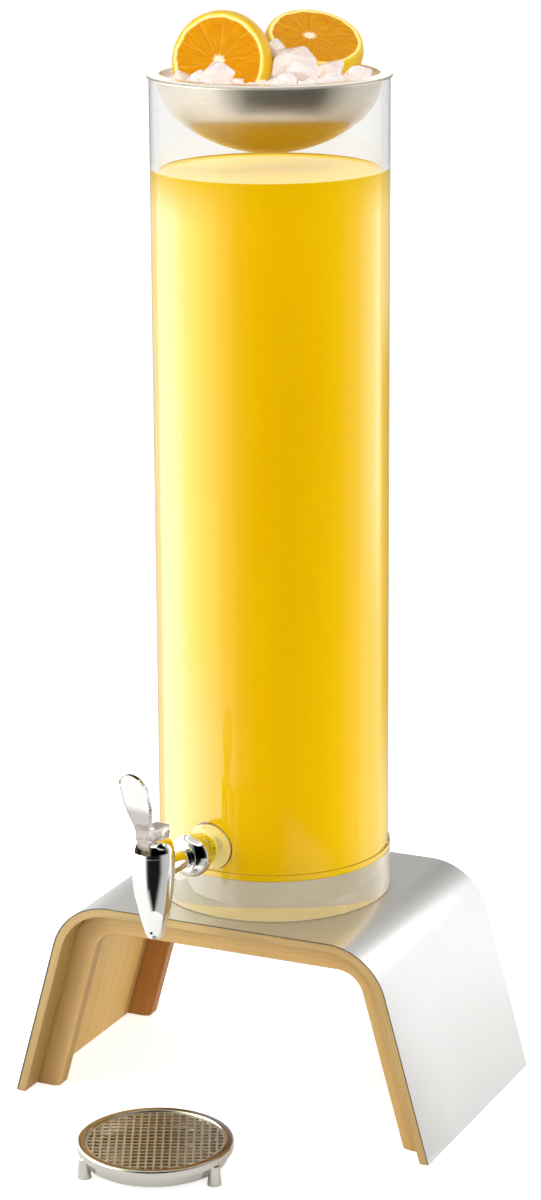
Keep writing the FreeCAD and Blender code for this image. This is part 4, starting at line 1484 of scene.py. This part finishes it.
@dataclass
class Tank:
    """The clear tank: block, tube and boss in one clear piece, and the juice in it."""

    axis_y: float = 65.55
    foot: float = 147.5
    block_radius: float = 81.4
    block_top: float = 180.8
    radius: float = 80.0
    bore: float = 75.0
    floor: float = 174.8
    top: float = 713.8
    boss_radius: float = 15.0
    boss_neck: float = 11.0
    boss_root: float = 76.0
    boss_waist: float = 80.4
    boss_foot: float = 83.5
    boss_front: float = 94.6
    boss_flare: float = 4.5
    boss_swell: float = 0.6
    boss_step: float = 1.6
    hole: float = 7.15
    hole_from: float = 60.0
    hole_to: float = 100.0
    lift: float = 0.05
    juice_top: float = 650.0
    wetting: float = 0.1
    pocket_radius: float = 16.8
    pocket_depth: float = 57.0
    pocket_to: float = 78.0
    segments: int = 256

    MENISCUS = ((0.0, 1.3), (0.35, 0.75), (1.2, 0.25), (3.0, 0.0))

    def upright(self) -> Matrix:
        """The move from an upright axis at the origin to the tank's axis."""
        return Matrix.Translation((0.0, self.axis_y * MM, 0.0))

    def build(self, tap: Tap, finishes: Finishes) -> list[bpy.types.Object]:
        """Build the clear piece and the juice.

        Args:
            tap: The tap, whose shank passes through the wall.
            finishes: The materials.

        Returns:
            The pieces.
        """
        back = Matrix.Translation((0.0, -self.axis_y * MM, 0.0)) @ tap.lying_place()
        profile = [
            Corner(0.0, self.foot + self.lift),
            Corner(self.block_radius, self.foot + self.lift, 1.0),
            Corner(self.block_radius, self.block_top, 0.35),
            Corner(self.radius, self.block_top),
            Corner(self.radius, self.top, 0.5),
            Corner(self.bore, self.top, 0.5),
            Corner(self.bore, self.floor, 1.2),
            Corner(0.0, self.floor),
        ]
        boss_profile = [
            Corner(0.0, self.boss_root),
            Corner(self.boss_radius + self.boss_flare, self.boss_root),
            Corner(self.boss_radius + self.boss_swell, self.boss_waist, 3.0),
            Corner(self.boss_radius - self.boss_step, self.boss_foot, 2.4),
            Corner(self.boss_neck, self.boss_foot, 1.6),
            Corner(self.boss_neck, self.boss_front, 0.4),
            Corner(0.0, self.boss_front),
        ]
        mesh = turned_mesh("clear_tank", softened(profile), self.segments)
        piece = make_object("clear_tank", mesh, finishes.acrylic)
        boss = turned_mesh("boss", softened(boss_profile), segments=96)
        boss.transform(back)
        combine(piece, boss, Cut.JOIN)
        combine(piece, rod_mesh(self.hole, self.hole_from, self.hole_to, segments=64, place=back))
        piece.data.transform(self.upright())
        piece.visible_shadow = False
        finish_piece(smooth(piece), Body.TANK, Slot.CLEAR, "tank_tube", "tank_base", "tap_boss")
        return [piece, self.juice(back, finishes)]

    def juice(self, back: Matrix, finishes: Finishes) -> bpy.types.Object:
        """The juice, which wets the wall, with a hollow round the nut inside it.

        Args:
            back: The shank's axis, with the tank's axis at the origin.
            finishes: The materials.

        Returns:
            The piece.
        """
        wet = self.bore + self.wetting
        profile = [
            Corner(0.0, self.floor - self.wetting),
            Corner(wet, self.floor - self.wetting, 1.2),
            *(Corner(wet - inward, self.juice_top + up) for inward, up in self.MENISCUS),
            Corner(0.0, self.juice_top),
        ]
        mesh = turned_mesh("juice", softened(profile), self.segments)
        piece = make_object("juice", mesh, finishes.juice, finishes.surface)
        # The top and the underside take the surface material; on the unlit underside its glow is
        # painted light.
        for face in mesh.polygons:
            at_top = face.center.z > (self.juice_top - 1.0) * MM and face.normal.z > 0.05
            face.material_index = int(at_top or face.normal.z < -0.9)
        pocket = (self.pocket_radius, self.pocket_depth, self.pocket_to)
        combine(piece, rod_mesh(*pocket, segments=96, place=back))
        piece.data.transform(self.upright())
        return finish_piece(smooth(piece), Body.TANK)


@dataclass
class Bowl:
    """The spun ice bowl in the tube's mouth."""

    axis_y: float = 65.55
    tube_top: float = 713.8
    radius: float = 74.5
    depth: float = 52.0
    sheet: float = 1.2
    shoulder: float = 40.0
    edge: float = 81.5
    lip: float = 3.0
    seat: float = 0.02
    segments: int = 224

    def curve(self, inset: float) -> list[Corner]:
        """The bowl's line from its bottom to its mouth, moved inwards.

        Args:
            inset: How far in from the outside, in millimetres.

        Returns:
            Corners with heights from the tube's top.
        """
        side = self.radius - self.shoulder
        base = self.radius**2 - 2 * self.radius * self.shoulder + self.depth**2
        base /= 2 * (self.depth - self.shoulder)
        angle = math.degrees(math.atan2(self.depth - base, side))
        low = arc((0.0, base - self.depth), base - inset, -90.0, angle, 28)
        low[0] = Corner(0.0, low[0].z)
        high = arc((side, 0.0), self.shoulder - inset, angle, 0.0, 22)
        return low + high[1:]

    def build(self, finishes: Finishes) -> bpy.types.Object:
        """Build the bowl with its turned-down rim.

        Args:
            finishes: The materials.

        Returns:
            The piece.
        """
        brim = self.edge - self.sheet
        hem = self.sheet - self.lip
        profile = [
            *self.curve(0.0)[:-1],
            Corner(self.radius, self.seat),
            Corner(brim, self.seat),
            Corner(brim, hem, 0.4),
            Corner(self.edge, hem, 0.4),
            *arc((brim, self.seat), self.sheet, 0.0, 90.0, 8),
            *arc((self.radius, self.seat), self.sheet, 90.0, 180.0, 8),
            *reversed(self.curve(self.sheet)[:-1]),
        ]
        mesh = turned_mesh("ice_bowl", softened(profile), self.segments)
        mesh.transform(Matrix.Translation((0.0, self.axis_y * MM, self.tube_top * MM)))
        piece = make_object("ice_bowl_steel", mesh, finishes.spun)
        piece.visible_shadow = False
        return finish_piece(smooth(piece, degrees=40.0), Body.BOWL, Slot.SATIN, "ice_bowl")


@dataclass
class OrangeHalf:
    """Half an orange, with its cut face up in its own frame."""

    name: str
    node: str
    centre: Triple
    look: Triple
    spin: float
    radius: float = 32.0
    bulge: float = 1.8
    waist: float = 8.0
    dome: float = 31.0
    edge: float = 0.8
    chamfer: float = 0.25
    flesh: float = 28.2
    segments: int = 10
    star: Point = (0.0, 0.0)
    star_flat: float = 2.5
    star_slope: float = 4.0
    gap_slope: float = 1.6
    rim_slope: float = 1.5
    sunk: float = 0.55
    sunk_slope: float = 0.8
    proud: float = 0.5
    turns: int = 180

    # How far out the rings on the cut face lie.
    REACHES = (0.0, 1.2, 2.4, *(3.6 + 0.8 * step for step in range(31)), 28.6, 29.6, 30.4)

    def height(self, x: float, y: float) -> float:
        """The height of the cut face, whose segments stand a little proud of their membranes.

        Args:
            x: Distance from the fruit's axis, in millimetres.
            y: Distance across it.

        Returns:
            The height in millimetres.
        """
        left = self.flesh - math.hypot(x, y)
        if left < 0:
            return 0.0
        x, y = x - self.star[0], y - self.star[1]
        reach = math.hypot(x, y)
        share = (math.atan2(y, x) * self.segments / (2 * math.pi)) % 1.0
        beside = min(share, 1 - share) * reach * 2 * math.pi / self.segments
        swell = min(beside / self.gap_slope, 1.0)
        swell *= min(max(reach - self.star_flat, 0.0) / self.star_slope, 1.0)
        swell *= min(left / self.rim_slope, 1.0)
        depth = self.sunk * min(left / self.sunk_slope, 1.0)
        return self.proud * math.sin(swell * math.pi / 2) - depth

    def side(self) -> list[Corner]:
        """The rind from the cut edge over the widest part to the fruit's end.

        Returns:
            Its corners.
        """
        widest = self.radius + self.bulge
        drop = self.waist - self.edge
        near = (self.bulge**2 + drop**2) / (2 * self.bulge)
        start = math.degrees(math.asin(drop / near))
        deep = self.dome - self.waist
        far = (widest**2 + deep**2) / (2 * widest)
        end = math.degrees(math.atan2(deep, widest - far))
        upper = arc((widest - near, -self.waist), near, start, 0.0, 8)
        lower = arc((widest - far, -self.waist), far, 0.0, -180.0 + end, 36)
        lower[-1] = Corner(0.0, -self.dome)
        return upper + lower[1:]

    def cut_mesh(self) -> bpy.types.Mesh:
        """Lay rings over the cut face and down the rind.

        Returns:
            The fruit in its own frame, with the rind as the second material.
        """
        rings = [(reach, None) for reach in (*self.REACHES, self.radius - self.edge)]
        rings.append((self.radius - self.chamfer, -self.chamfer))
        rings += [(corner.r, corner.z) for corner in self.side()]
        shape = bmesh.new()
        loops = []
        for reach, level in rings:
            count = 1 if reach < 1e-6 else self.turns
            loop = []
            for step in range(count):
                angle = 2 * math.pi * step / count
                x, y = reach * math.cos(angle), reach * math.sin(angle)
                depth = self.height(x, y) if level is None else level
                loop.append(shape.verts.new((x * MM, y * MM, depth * MM)))
            loops.append(loop)
        for near, far, (_, level) in zip(loops, loops[1:], rings[1:]):
            for face in bridge(shape, near, far):
                face.material_index = int(level is not None)
        bmesh.ops.recalc_face_normals(shape, faces=shape.faces)
        return mesh_of(shape, self.name)

    def build(self, finishes: Finishes) -> bpy.types.Object:
        """Build the fruit.

        Args:
            finishes: The materials.

        Returns:
            The piece.
        """
        mesh = self.cut_mesh()
        turn = Vector((0.0, 0.0, 1.0)).rotation_difference(Vector(self.look)).to_matrix().to_4x4()
        turn = turn @ Matrix.Rotation(math.radians(self.spin), 4, "Z")
        placement = Matrix.Translation(Vector(self.centre) * MM) @ turn
        mesh.transform(placement)
        face = CitrusFlesh(self.name + "_cut_face", placement, self.star, self.segments, self.flesh)
        piece = make_object(self.name, mesh, face.material(), finishes.rind)
        return finish_piece(smooth(piece, degrees=60.0), Body.BOWL, Slot.ORANGE, self.node)


@dataclass
class IcePile:
    """Crushed ice in the bowl."""

    bowl: Bowl
    axis_y: float = 65.55
    rim: float = 715.0
    seed: int = 11
    level: float = 7.5
    gap: float = 0.3
    bed_edge: float = 2.0
    crest_inset: float = 1.0
    crest_drop: float = 1.5
    shards: int = 110
    points: int = 15
    smallest: float = 4.0
    largest: float = 9.0
    least_reach: float = 0.78
    flatness: float = 0.85
    flat_angle: float = 14.0
    bevel: float = 0.08
    spread: float = 66.0
    limit: float = 71.0
    flat_to: float = 58.0
    slope: float = 0.15
    heap: Point = (0.5, 4.0)

    LUMPS = (
        ((20.0, -4.0, 5.0), 20.0),
        ((30.0, -12.0, 1.0), 13.0),
        ((3.0, 2.0, 15.0), 9.0),
        ((42.0, 6.0, -1.0), 14.0),
        ((-13.0, -50.0, 2.5), 14.0),
        ((-27.0, -46.0, -3.0), 11.0),
        ((59.0, 14.0, -3.0), 11.0),
        ((20.0, -36.0, -8.0), 11.5),
        ((46.0, -18.0, -5.0), 12.0),
        ((63.0, -3.0, -4.5), 9.0),
        ((-50.0, -30.0, -4.0), 9.5),
        ((-60.0, -8.0, -4.0), 9.0),
        ((-57.0, 12.0, -4.0), 10.5),
        ((-30.0, 38.0, -6.0), 13.0),
        ((34.0, 50.0, -9.0), 10.0),
    )

    def shard(
        self, shape: bmesh.types.BMesh, centre: Vector, size: float, dice: random.Random
    ) -> None:
        """Add one broken lump.

        Args:
            shape: The mesh that takes it.
            centre: Its middle in millimetres.
            size: Its half width in millimetres.
            dice: The seeded source of chance.
        """
        piece = bmesh.new()
        for _ in range(self.points):
            way = Vector((dice.gauss(0, 1), dice.gauss(0, 1), dice.gauss(0, 1))).normalized()
            reach = size * dice.uniform(self.least_reach, 1.0)
            piece.verts.new((way.x * reach, way.y * reach, way.z * reach * self.flatness))
        hull = bmesh.ops.convex_hull(piece, input=piece.verts)
        spare = [part for part in hull["geom_interior"] if isinstance(part, bmesh.types.BMVert)]
        bmesh.ops.delete(piece, geom=spare, context="VERTS")
        flat = math.radians(self.flat_angle)
        bmesh.ops.dissolve_limit(piece, angle_limit=flat, verts=piece.verts, edges=piece.edges)
        bmesh.ops.bevel(
            piece,
            geom=list(piece.edges),
            offset=size * self.bevel,
            offset_type="OFFSET",
            segments=2,
            profile=0.5,
            affect="EDGES",
            clamp_overlap=True,
        )
        piece.transform(Matrix.Translation(centre))
        made = mesh_of(piece, "shard")
        shape.from_mesh(made)
        bpy.data.meshes.remove(made)

    def build(self, finishes: Finishes) -> list[bpy.types.Object]:
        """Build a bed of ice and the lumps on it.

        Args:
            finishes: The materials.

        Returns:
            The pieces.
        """
        dice = random.Random(self.seed)
        inset = self.bowl.sheet + self.gap
        top = -self.level - self.bed_edge
        profile = [corner for corner in self.bowl.curve(inset) if corner.z < top]
        profile.append(Corner(profile[-1].r - self.crest_inset, -self.level - self.crest_drop))
        profile.append(Corner(0.0, -self.level))
        bed_mesh = turned_mesh("ice_bed", softened(profile), segments=96)
        bed_mesh.transform(Matrix.Translation((0.0, self.axis_y * MM, self.bowl.tube_top * MM)))
        bed = smooth(make_object("ice_bed", bed_mesh, finishes.ice))
        shape = bmesh.new()
        for centre, size in self.LUMPS:
            self.shard(shape, Vector(centre), size, dice)
        for _ in range(self.shards):
            reach, angle = self.spread * math.sqrt(dice.random()), dice.uniform(0, 2 * math.pi)
            size = dice.uniform(self.smallest, self.largest)
            height = -self.level + dice.uniform(*self.heap)
            height -= max(reach - self.flat_to, 0.0) * self.slope
            if reach + size > self.limit:
                reach = self.limit - size
            centre = Vector((reach * math.cos(angle), reach * math.sin(angle), height))
            self.shard(shape, centre, size, dice)
        mouth = Matrix.Translation((0.0, self.axis_y * MM, self.rim * MM))
        shape.transform(mouth @ Matrix.Scale(MM, 4))
        bmesh.ops.recalc_face_normals(shape, faces=shape.faces)
        mesh = mesh_of(shape, "ice_lumps")
        lumps = smooth(make_object("ice_lumps", mesh, finishes.ice), degrees=25.0)
        for piece in (bed, lumps):
            piece.visible_shadow = False
        return [
            finish_piece(bed, Body.BOWL, Slot.ICE),
            finish_piece(lumps, Body.BOWL, Slot.ICE, "ice"),
        ]


@dataclass
class DripTray:
    """The round drip tray: ring, cup, feet and grille."""

    x: float = -11.0
    y: float = -103.95
    ring_radius: float = 52.8
    ring_top: float = 19.0
    skirt: float = 13.2
    sheet: float = 1.7
    bore: float = 47.4
    ledge: float = 16.8
    web: float = 1.1
    ledge_width: float = 1.9
    cup_floor: float = 5.5
    cup_foot: float = 48.3
    cup_wall: float = 0.9
    cup_gap: float = 0.1
    segments: int = 192

    def ring(self) -> list[Corner]:
        """The closed profile of the pressed ring with its ledge.

        Returns:
            Its corners.
        """
        skirt = self.ring_radius - self.sheet
        inner = self.bore - self.ledge_width
        under = self.ledge - self.web
        return [
            Corner(inner, under, 0.2),
            Corner(skirt, under, 0.5),
            Corner(skirt, self.skirt, 0.3),
            Corner(self.ring_radius, self.skirt, 0.6),
            Corner(self.ring_radius, self.ring_top, 1.5),
            Corner(self.bore, self.ring_top, 1.2),
            Corner(self.bore, self.ledge, 0.3),
            Corner(inner, self.ledge, 0.3),
        ]

    def cup(self) -> list[Corner]:
        """The profile of the pressed cup, from its foot up to the ring and back inside.

        Returns:
            Its corners.
        """
        rim = self.ring_radius - self.sheet - self.cup_gap
        top = self.ledge - self.web - self.cup_gap
        return [
            Corner(0.0, self.cup_floor),
            Corner(self.cup_foot, self.cup_floor, 2.5),
            Corner(rim, self.skirt, 1.0),
            Corner(rim, top, 0.2),
            Corner(rim - self.cup_wall, top, 0.2),
            Corner(rim - self.cup_wall, self.skirt, 1.0),
            Corner(self.cup_foot - self.cup_wall, self.cup_floor + self.cup_wall, 1.8),
            Corner(0.0, self.cup_floor + self.cup_wall),
        ]

    def build(self, frame: dict, finishes: Finishes) -> list[bpy.types.Object]:
        """Build the ring and the cup, and dress the rest.

        Args:
            frame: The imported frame.
            finishes: The materials.

        Returns:
            The new pieces.
        """
        pieces = []
        turned = (("tray_ring", self.ring(), True), ("tray_cup", self.cup(), False))
        for node, profile, closed in turned:
            mesh = turned_mesh(node, softened(profile, closed), self.segments, closed)
            mesh.transform(Matrix.Translation((self.x * MM, self.y * MM, 0.0)))
            piece = smooth(make_object(node + "_steel", mesh, finishes.steel))
            pieces.append(finish_piece(piece, Body.TRAY, Slot.STEEL, node))
        for number in (1, 2, 3):
            dress(frame, f"tray_foot_{number}", finishes.steel)
        dress(frame, "tray_grille", finishes.mesh)
        return pieces


# Studio


def rise(place: float, start: float, end: float) -> float:
    """An eased step from 0 at the start to 1 at the end."""
    share = min(max((place - start) / (end - start), 0.0), 1.0)
    return share * share * (3 - 2 * share)


def hump(place: float, up: Point, down: Point) -> float:
    """An eased step up over one stretch and down again over another."""
    return rise(place, *up) * (1.0 - rise(place, *down))


def between(keys: tuple[Point, ...], place: float) -> float:
    """Read a value between keys, easing from one to the next.

    Args:
        keys: Pairs of a place and its value, in order.
        place: The place to read.

    Returns:
        The value.
    """
    for (start, low), (end, high) in zip(keys, keys[1:]):
        if start <= place <= end:
            return low + (high - low) * rise(place, start, end)
    return keys[-1][1]


@dataclass(frozen=True)
class Lamp:
    """A large soft lamp. Its places are in metres and its power is in watts."""

    name: str
    place: Triple
    aim: Triple
    size: float
    power: float

    def build(self) -> None:
        """Hang the lamp, and hide it from shiny and clear pieces."""
        data = bpy.data.lights.new(self.name, "AREA")
        data.size = self.size
        data.energy = self.power
        lamp = bpy.data.objects.new(self.name, data)
        lamp.location = self.place
        way = Vector(self.aim) - Vector(self.place)
        lamp.rotation_euler = way.to_track_quat("-Z", "Y").to_euler()
        lamp.visible_glossy = False
        lamp.visible_transmission = False
        bpy.context.scene.collection.objects.link(lamp)


@dataclass(frozen=True)
class Screen:
    """A curved screen that only reflections and clear pieces see, round an upright axis.

    Its colours are given by the side, in degrees from the camera's side, and the height in metres.
    The through colour is seen after clear plastic, and the straight one after clear plastic alone.
    """

    name: str
    centre: Point
    radius: float
    sides: tuple[float, float, int]
    heights: tuple[float, float, int]
    reflected: Paint
    through: Paint | None = None
    straight: Paint | None = None
    cover: Paint | None = None
    camera_side: float = 24.7

    def sheet(self) -> tuple[bpy.types.Mesh, list[Point]]:
        """Lay the screen's grid of faces.

        Returns:
            The mesh, and the side and height of each of its points.
        """
        (first_side, last_side, columns), (foot, top, rows) = self.sides, self.heights
        spots, places = [], []
        for column in range(columns + 1):
            side = first_side + (last_side - first_side) * column / columns
            turn = math.radians(self.camera_side + side)
            x = self.centre[0] + math.sin(turn) * self.radius
            y = self.centre[1] - math.cos(turn) * self.radius
            for row in range(rows + 1):
                height = foot + (top - foot) * row / rows
                spots.append((x, y, height))
                places.append((side, height))
        faces = []
        for column in range(columns):
            for row in range(rows):
                first = column * (rows + 1) + row
                faces.append((first, first + rows + 1, first + rows + 2, first + 1))
        mesh = bpy.data.meshes.new(self.name)
        mesh.from_pydata(spots, [], faces)
        return mesh, places

    def build(self) -> bpy.types.Object:
        """Build the screen and paint its colours on it.

        Returns:
            The screen.
        """
        mesh, places = self.sheet()
        shader = Shader(self.name)

        def painted(key: str, paint: Paint) -> bpy.types.NodeSocket:
            """Paint colours on the mesh.

            Args:
                key: The name of their attribute.
                paint: The colour by side and height.

            Returns:
                The socket that reads them back.
            """
            colours = [part for place in places for part in (*paint(*place), 1.0)]
            mesh.attributes.new(key, "FLOAT_COLOR", "POINT").data.foreach_set("color", colours)
            return shader.read(key).outputs["Color"]

        glow = painted("reflected", self.reflected)
        if self.through is not None:
            path = shader.add("LightPath").outputs
            bounces = shader.math("ADD", path["Glossy Depth"], path["Diffuse Depth"])
            straight, through = painted("straight", self.straight), painted("through", self.through)
            seen = shader.blend(shader.spread(bounces, 0.0, 1.0), straight, through)
            glow = shader.blend(path["Is Transmission Ray"], glow, seen)
        if self.cover is not None:
            shader.set(Alpha=painted("cover", self.cover))
        shader.set(
            Base_Color=(0.0, 0.0, 0.0),
            Roughness=1.0,
            Specular_IOR_Level=0.0,
            Emission_Color=glow,
            Emission_Strength=1.0,
        )
        piece = make_object(self.name, mesh, shader.material)
        piece.visible_camera = False
        piece.visible_diffuse = False
        piece.visible_shadow = False
        piece.visible_volume_scatter = False
        return piece


@dataclass
class Studio:
    """Floor, soft lamps, the surround that shiny pieces reflect, and the camera."""

    camera_place: Triple = (0.951651, -2.000687, 0.972883)
    camera_turn: Triple = (74.75586, 0.33278, 24.67547)
    lens: float = 102.759
    sensor: float = 36.0
    ambient: float = 0.496
    mirrored: float = 0.8
    seen: float = 1.0
    floor_size: float = 12.0
    floor_height: float = -0.0004
    floor_glow: float = 0.62
    floor_bounce: float = 0.1
    surround_radius: float = 0.45
    card_radius: float = 0.2
    tank: Point = (0.0, 0.0655)
    tap: Point = (-0.0246, -0.0738)

    LAMPS = (
        Lamp("lamp_left", (-1.5, -1.1, 1.0), (0.0, 0.0, 0.4), 1.3, 24.0),
        Lamp("lamp_right", (1.05, -1.64, 0.8), (0.0, 0.0, 0.35), 1.1, 24.5),
        Lamp("lamp_behind", (1.0, 0.6, 0.12), (0.0, 0.05, 0.06), 0.3, 7.0),
        Lamp("lamp_top", (0.1, 0.3, 2.4), (0.0, 0.05, 0.2), 1.2, 14.0),
    )
    REFLECTED = (
        (-180.0, 0.5),
        (-160.0, 0.55),
        (-140.0, 1.2),
        (-118.0, 4.6),
        (-98.0, 6.6),
        (-75.0, 6.0),
        (-58.0, 4.2),
        (-42.0, 1.8),
        (-28.0, 0.3),
        (-14.0, 0.0),
        (46.0, 0.0),
        (62.0, 0.1),
        (80.0, 0.7),
        (103.0, 2.5),
        (118.0, 3.3),
        (127.0, 1.3),
        (140.0, 0.9),
        (150.0, 0.6),
        (165.0, 0.5),
        (180.0, 0.5),
    )
    SEEN_THROUGH = (
        (-180.0, 1.0),
        (-60.0, 1.25),
        (-35.0, 0.5),
        (-22.0, 0.03),
        (50.0, 0.03),
        (66.0, 0.45),
        (90.0, 0.78),
        (115.0, 0.8),
        (150.0, 1.0),
        (180.0, 1.0),
    )

    def camera(self) -> None:
        """Place the camera at the photograph's viewing angle."""
        data = bpy.data.cameras.new("camera")
        data.lens = self.lens
        data.sensor_width = self.sensor
        data.clip_start = 0.05
        data.clip_end = 50.0
        camera = bpy.data.objects.new("camera", data)
        camera.location = self.camera_place
        camera.rotation_euler = [math.radians(angle) for angle in self.camera_turn]
        bpy.context.scene.collection.objects.link(camera)
        bpy.context.scene.camera = camera

    def world(self) -> None:
        """A plain white studio: white where it is looked at, softer where it lights."""
        world = bpy.data.worlds.new("studio")
        bpy.context.scene.world = world
        world.use_nodes = True
        tree = world.node_tree
        tree.nodes.clear()
        path = tree.nodes.new("ShaderNodeLightPath")
        background = tree.nodes.new("ShaderNodeBackground")
        background.inputs["Color"].default_value = (1.0, 1.0, 1.0, 1.0)
        background.inputs["Strength"].default_value = self.ambient
        strength = None
        for name, value in (
            ("Is Glossy Ray", self.mirrored),
            ("Is Transmission Ray", self.mirrored),
            ("Is Camera Ray", self.seen),
        ):
            level = tree.nodes.new("ShaderNodeMapRange")
            tree.links.new(path.outputs[name], level.inputs["Value"])
            level.inputs["To Min"].default_value = self.ambient
            level.inputs["To Max"].default_value = value
            if strength is not None:
                tree.links.new(strength, level.inputs["To Min"])
            strength = level.outputs["Result"]
        tree.links.new(strength, background.inputs["Strength"])
        output = tree.nodes.new("ShaderNodeOutputWorld")
        tree.links.new(background.outputs["Background"], output.inputs["Surface"])

    def floor(self) -> None:
        """A white floor that keeps the soft shadows."""
        shader = Shader("studio_floor")
        seen = shader.add("LightPath").outputs["Is Camera Ray"]
        shader.set(
            Base_Color=shader.ramp(shader.noise(3.0), [(0.0, (0.84,) * 3), (1.0, (0.86,) * 3)]),
            Roughness=0.9,
            Emission_Color=(1.0, 1.0, 1.0),
            Emission_Strength=shader.spread(seen, 0.0, 1.0, self.floor_bounce, self.floor_glow),
        )
        mesh = bpy.data.meshes.new("floor")
        signs = ((-1, -1), (1, -1), (1, 1), (-1, 1))
        corners = [(x * self.floor_size, y * self.floor_size, self.floor_height) for x, y in signs]
        mesh.from_pydata(corners, [], [(0, 1, 2, 3)])
        make_object("floor", mesh, shader.material)

    def reflected(self, side: float, height: float) -> Colour:
        """The colour that reflections see.

        Args:
            side: Degrees from the camera's side.
            height: Metres above the table.

        Returns:
            The colour, where 1 is white.
        """
        value = between(self.REFLECTED, side)
        if side > 60.0:
            # The chrome near the table mirrors a plain white on its right.
            value += (min(value, 1.4) - value) * (1.0 - rise(height, 0.2, 0.38))
        # The bend of the laminate mirrors a dimmer stretch low on the right.
        bend = hump(side, (122.0, 130.0), (148.0, 164.0)) * hump(height, (0.06, 0.18), (0.42, 0.5))
        value *= 1.0 - 0.66 * bend
        # The bowl's side mirrors a dim band, and its rim, fruit and ice mirror white.
        value += (min(value, 0.25) - value) * rise(height, 0.56, 0.6)
        value += (1.45 - value) * rise(height, 0.67, 0.72)
        # The pale streak on the tank's left is a little yellow.
        lemon = hump(side, (-100.0, -70.0), (-24.0, -8.0)) * hump(height, (0.14, 0.24), (0.55, 0.6))
        return value * (1.0 - 0.22 * lemon), value, value * (1.0 - 0.38 * lemon)

    def seen_through(self, side: float, height: float) -> Colour:
        """The colour that light sees after it came through clear plastic.

        Args:
            side: Degrees from the camera's side.
            height: Metres above the table.

        Returns:
            The colour, where 1 is white.
        """
        value = between(self.SEEN_THROUGH, side)
        value += (1.0 - value) * rise(height, 0.68, 0.74)
        value += (max(value, 0.35) - value) * (1.0 - rise(height, 0.22, 0.34))
        low = hump(height, (0.13, 0.19), (0.36, 0.5)) * rise(abs(side), 95.0, 150.0)
        return value * (1.0 - 0.5 * low), value * (0.985 - 0.555 * low), value * (0.96 - 0.65 * low)

    def seen_straight(self, side: float, height: float) -> Colour:
        """The colour seen straight through clear plastic alone, which is pale in front too.

        Args:
            side: Degrees from the camera's side.
            height: Metres above the table.

        Returns:
            The colour, where 1 is white.
        """
        pale = 0.92 * (1.0 - rise(abs(side), 66.0, 95.0))
        red, green, blue = self.seen_through(side, height)
        return max(red, pale), max(green, pale), max(blue, pale)

    @staticmethod
    def card_glow(side: float, height: float) -> Colour:
        """The card's colour: dark in front of the tap, and grey on its right.

        Args:
            side: Degrees from the camera's side.
            height: Metres above the table.

        Returns:
            The colour, where 1 is white.
        """
        dark_to = 28.0 - (1.0 - min(height / 0.13, 1.0)) * 34.0
        keys = ((-70.0, 0.012), (dark_to, 0.012), (dark_to + 30.0, 0.6), (100.0, 0.7))
        value = between(keys, side)
        return value, value, value * 0.97

    @staticmethod
    def card_cover(side: float, height: float) -> Colour:
        """How solid the card is: soft at its edges, and narrower towards the table.

        Args:
            side: Degrees from the camera's side.
            height: Metres above the table.

        Returns:
            The share, as a grey.
        """
        lean = (1.0 - min(height / 0.1, 1.0)) * 22.0
        left, right = rise(side, -52.0 + lean, -18.0 + lean), 1.0 - rise(side, 78.0, 98.0)
        share = min(left, right) * (1.0 - rise(height, 0.15, 0.168))
        return share, share, share

    def surround(self) -> None:
        """The surround about the tank, and the dark and grey card close to the tap."""
        colours = (self.reflected, self.seen_through, self.seen_straight)
        sides, heights = (-180.0, 180.0, 180), (0.02, 1.0, 49)
        Screen("surround", self.tank, self.surround_radius, sides, heights, *colours).build()
        card = Screen(
            "tap_card",
            self.tap,
            self.card_radius,
            sides=(-70.0, 100.0, 85),
            heights=(0.001, 0.17, 34),
            reflected=self.card_glow,
            cover=self.card_cover,
        ).build()
        card.visible_transmission = False

    def build(self) -> None:
        """Set the whole studio up."""
        self.world()
        self.floor()
        self.camera()
        self.surround()
        for lamp in self.LAMPS:
            lamp.build()


def show_view() -> None:
    """Set how colours are shown."""
    bpy.context.scene.view_settings.view_transform = "Standard"


def main() -> None:
    """Build and dress every sub-assembly in order."""
    logging.basicConfig(level=logging.INFO, format="%(name)s: %(message)s")
    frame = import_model()
    finishes = Finishes()
    tap = Tap()
    bowl = Bowl()
    pieces = Stand().build(finishes)
    pieces += Tank().build(tap, finishes)
    pieces += tap.build(frame, finishes)
    pieces.append(bowl.build(finishes))
    pieces += IcePile(bowl).build(finishes)
    front = OrangeHalf(
        "orange_front",
        "orange_half_front",
        centre=(-26.6, 43.05, 722.7),
        look=(0.15, -0.98, 0.14),
        spin=20.0,
    )
    rear = OrangeHalf(
        "orange_rear",
        "orange_half_rear",
        centre=(19.2, 96.95, 735.3),
        look=(0.33, -0.36, 0.87),
        spin=5.0,
        star=(-4.0, 0.0),
    )
    pieces += [half.build(finishes) for half in (front, rear)]
    pieces += DripTray().build(frame, finishes)
    for piece in pieces:
        LOG.info("%s: %d faces", piece.name, len(piece.data.polygons))
    Studio().build()
    show_view()
    LOG.info("%d pieces built", len(pieces))


if __name__ == "__main__":
    main()
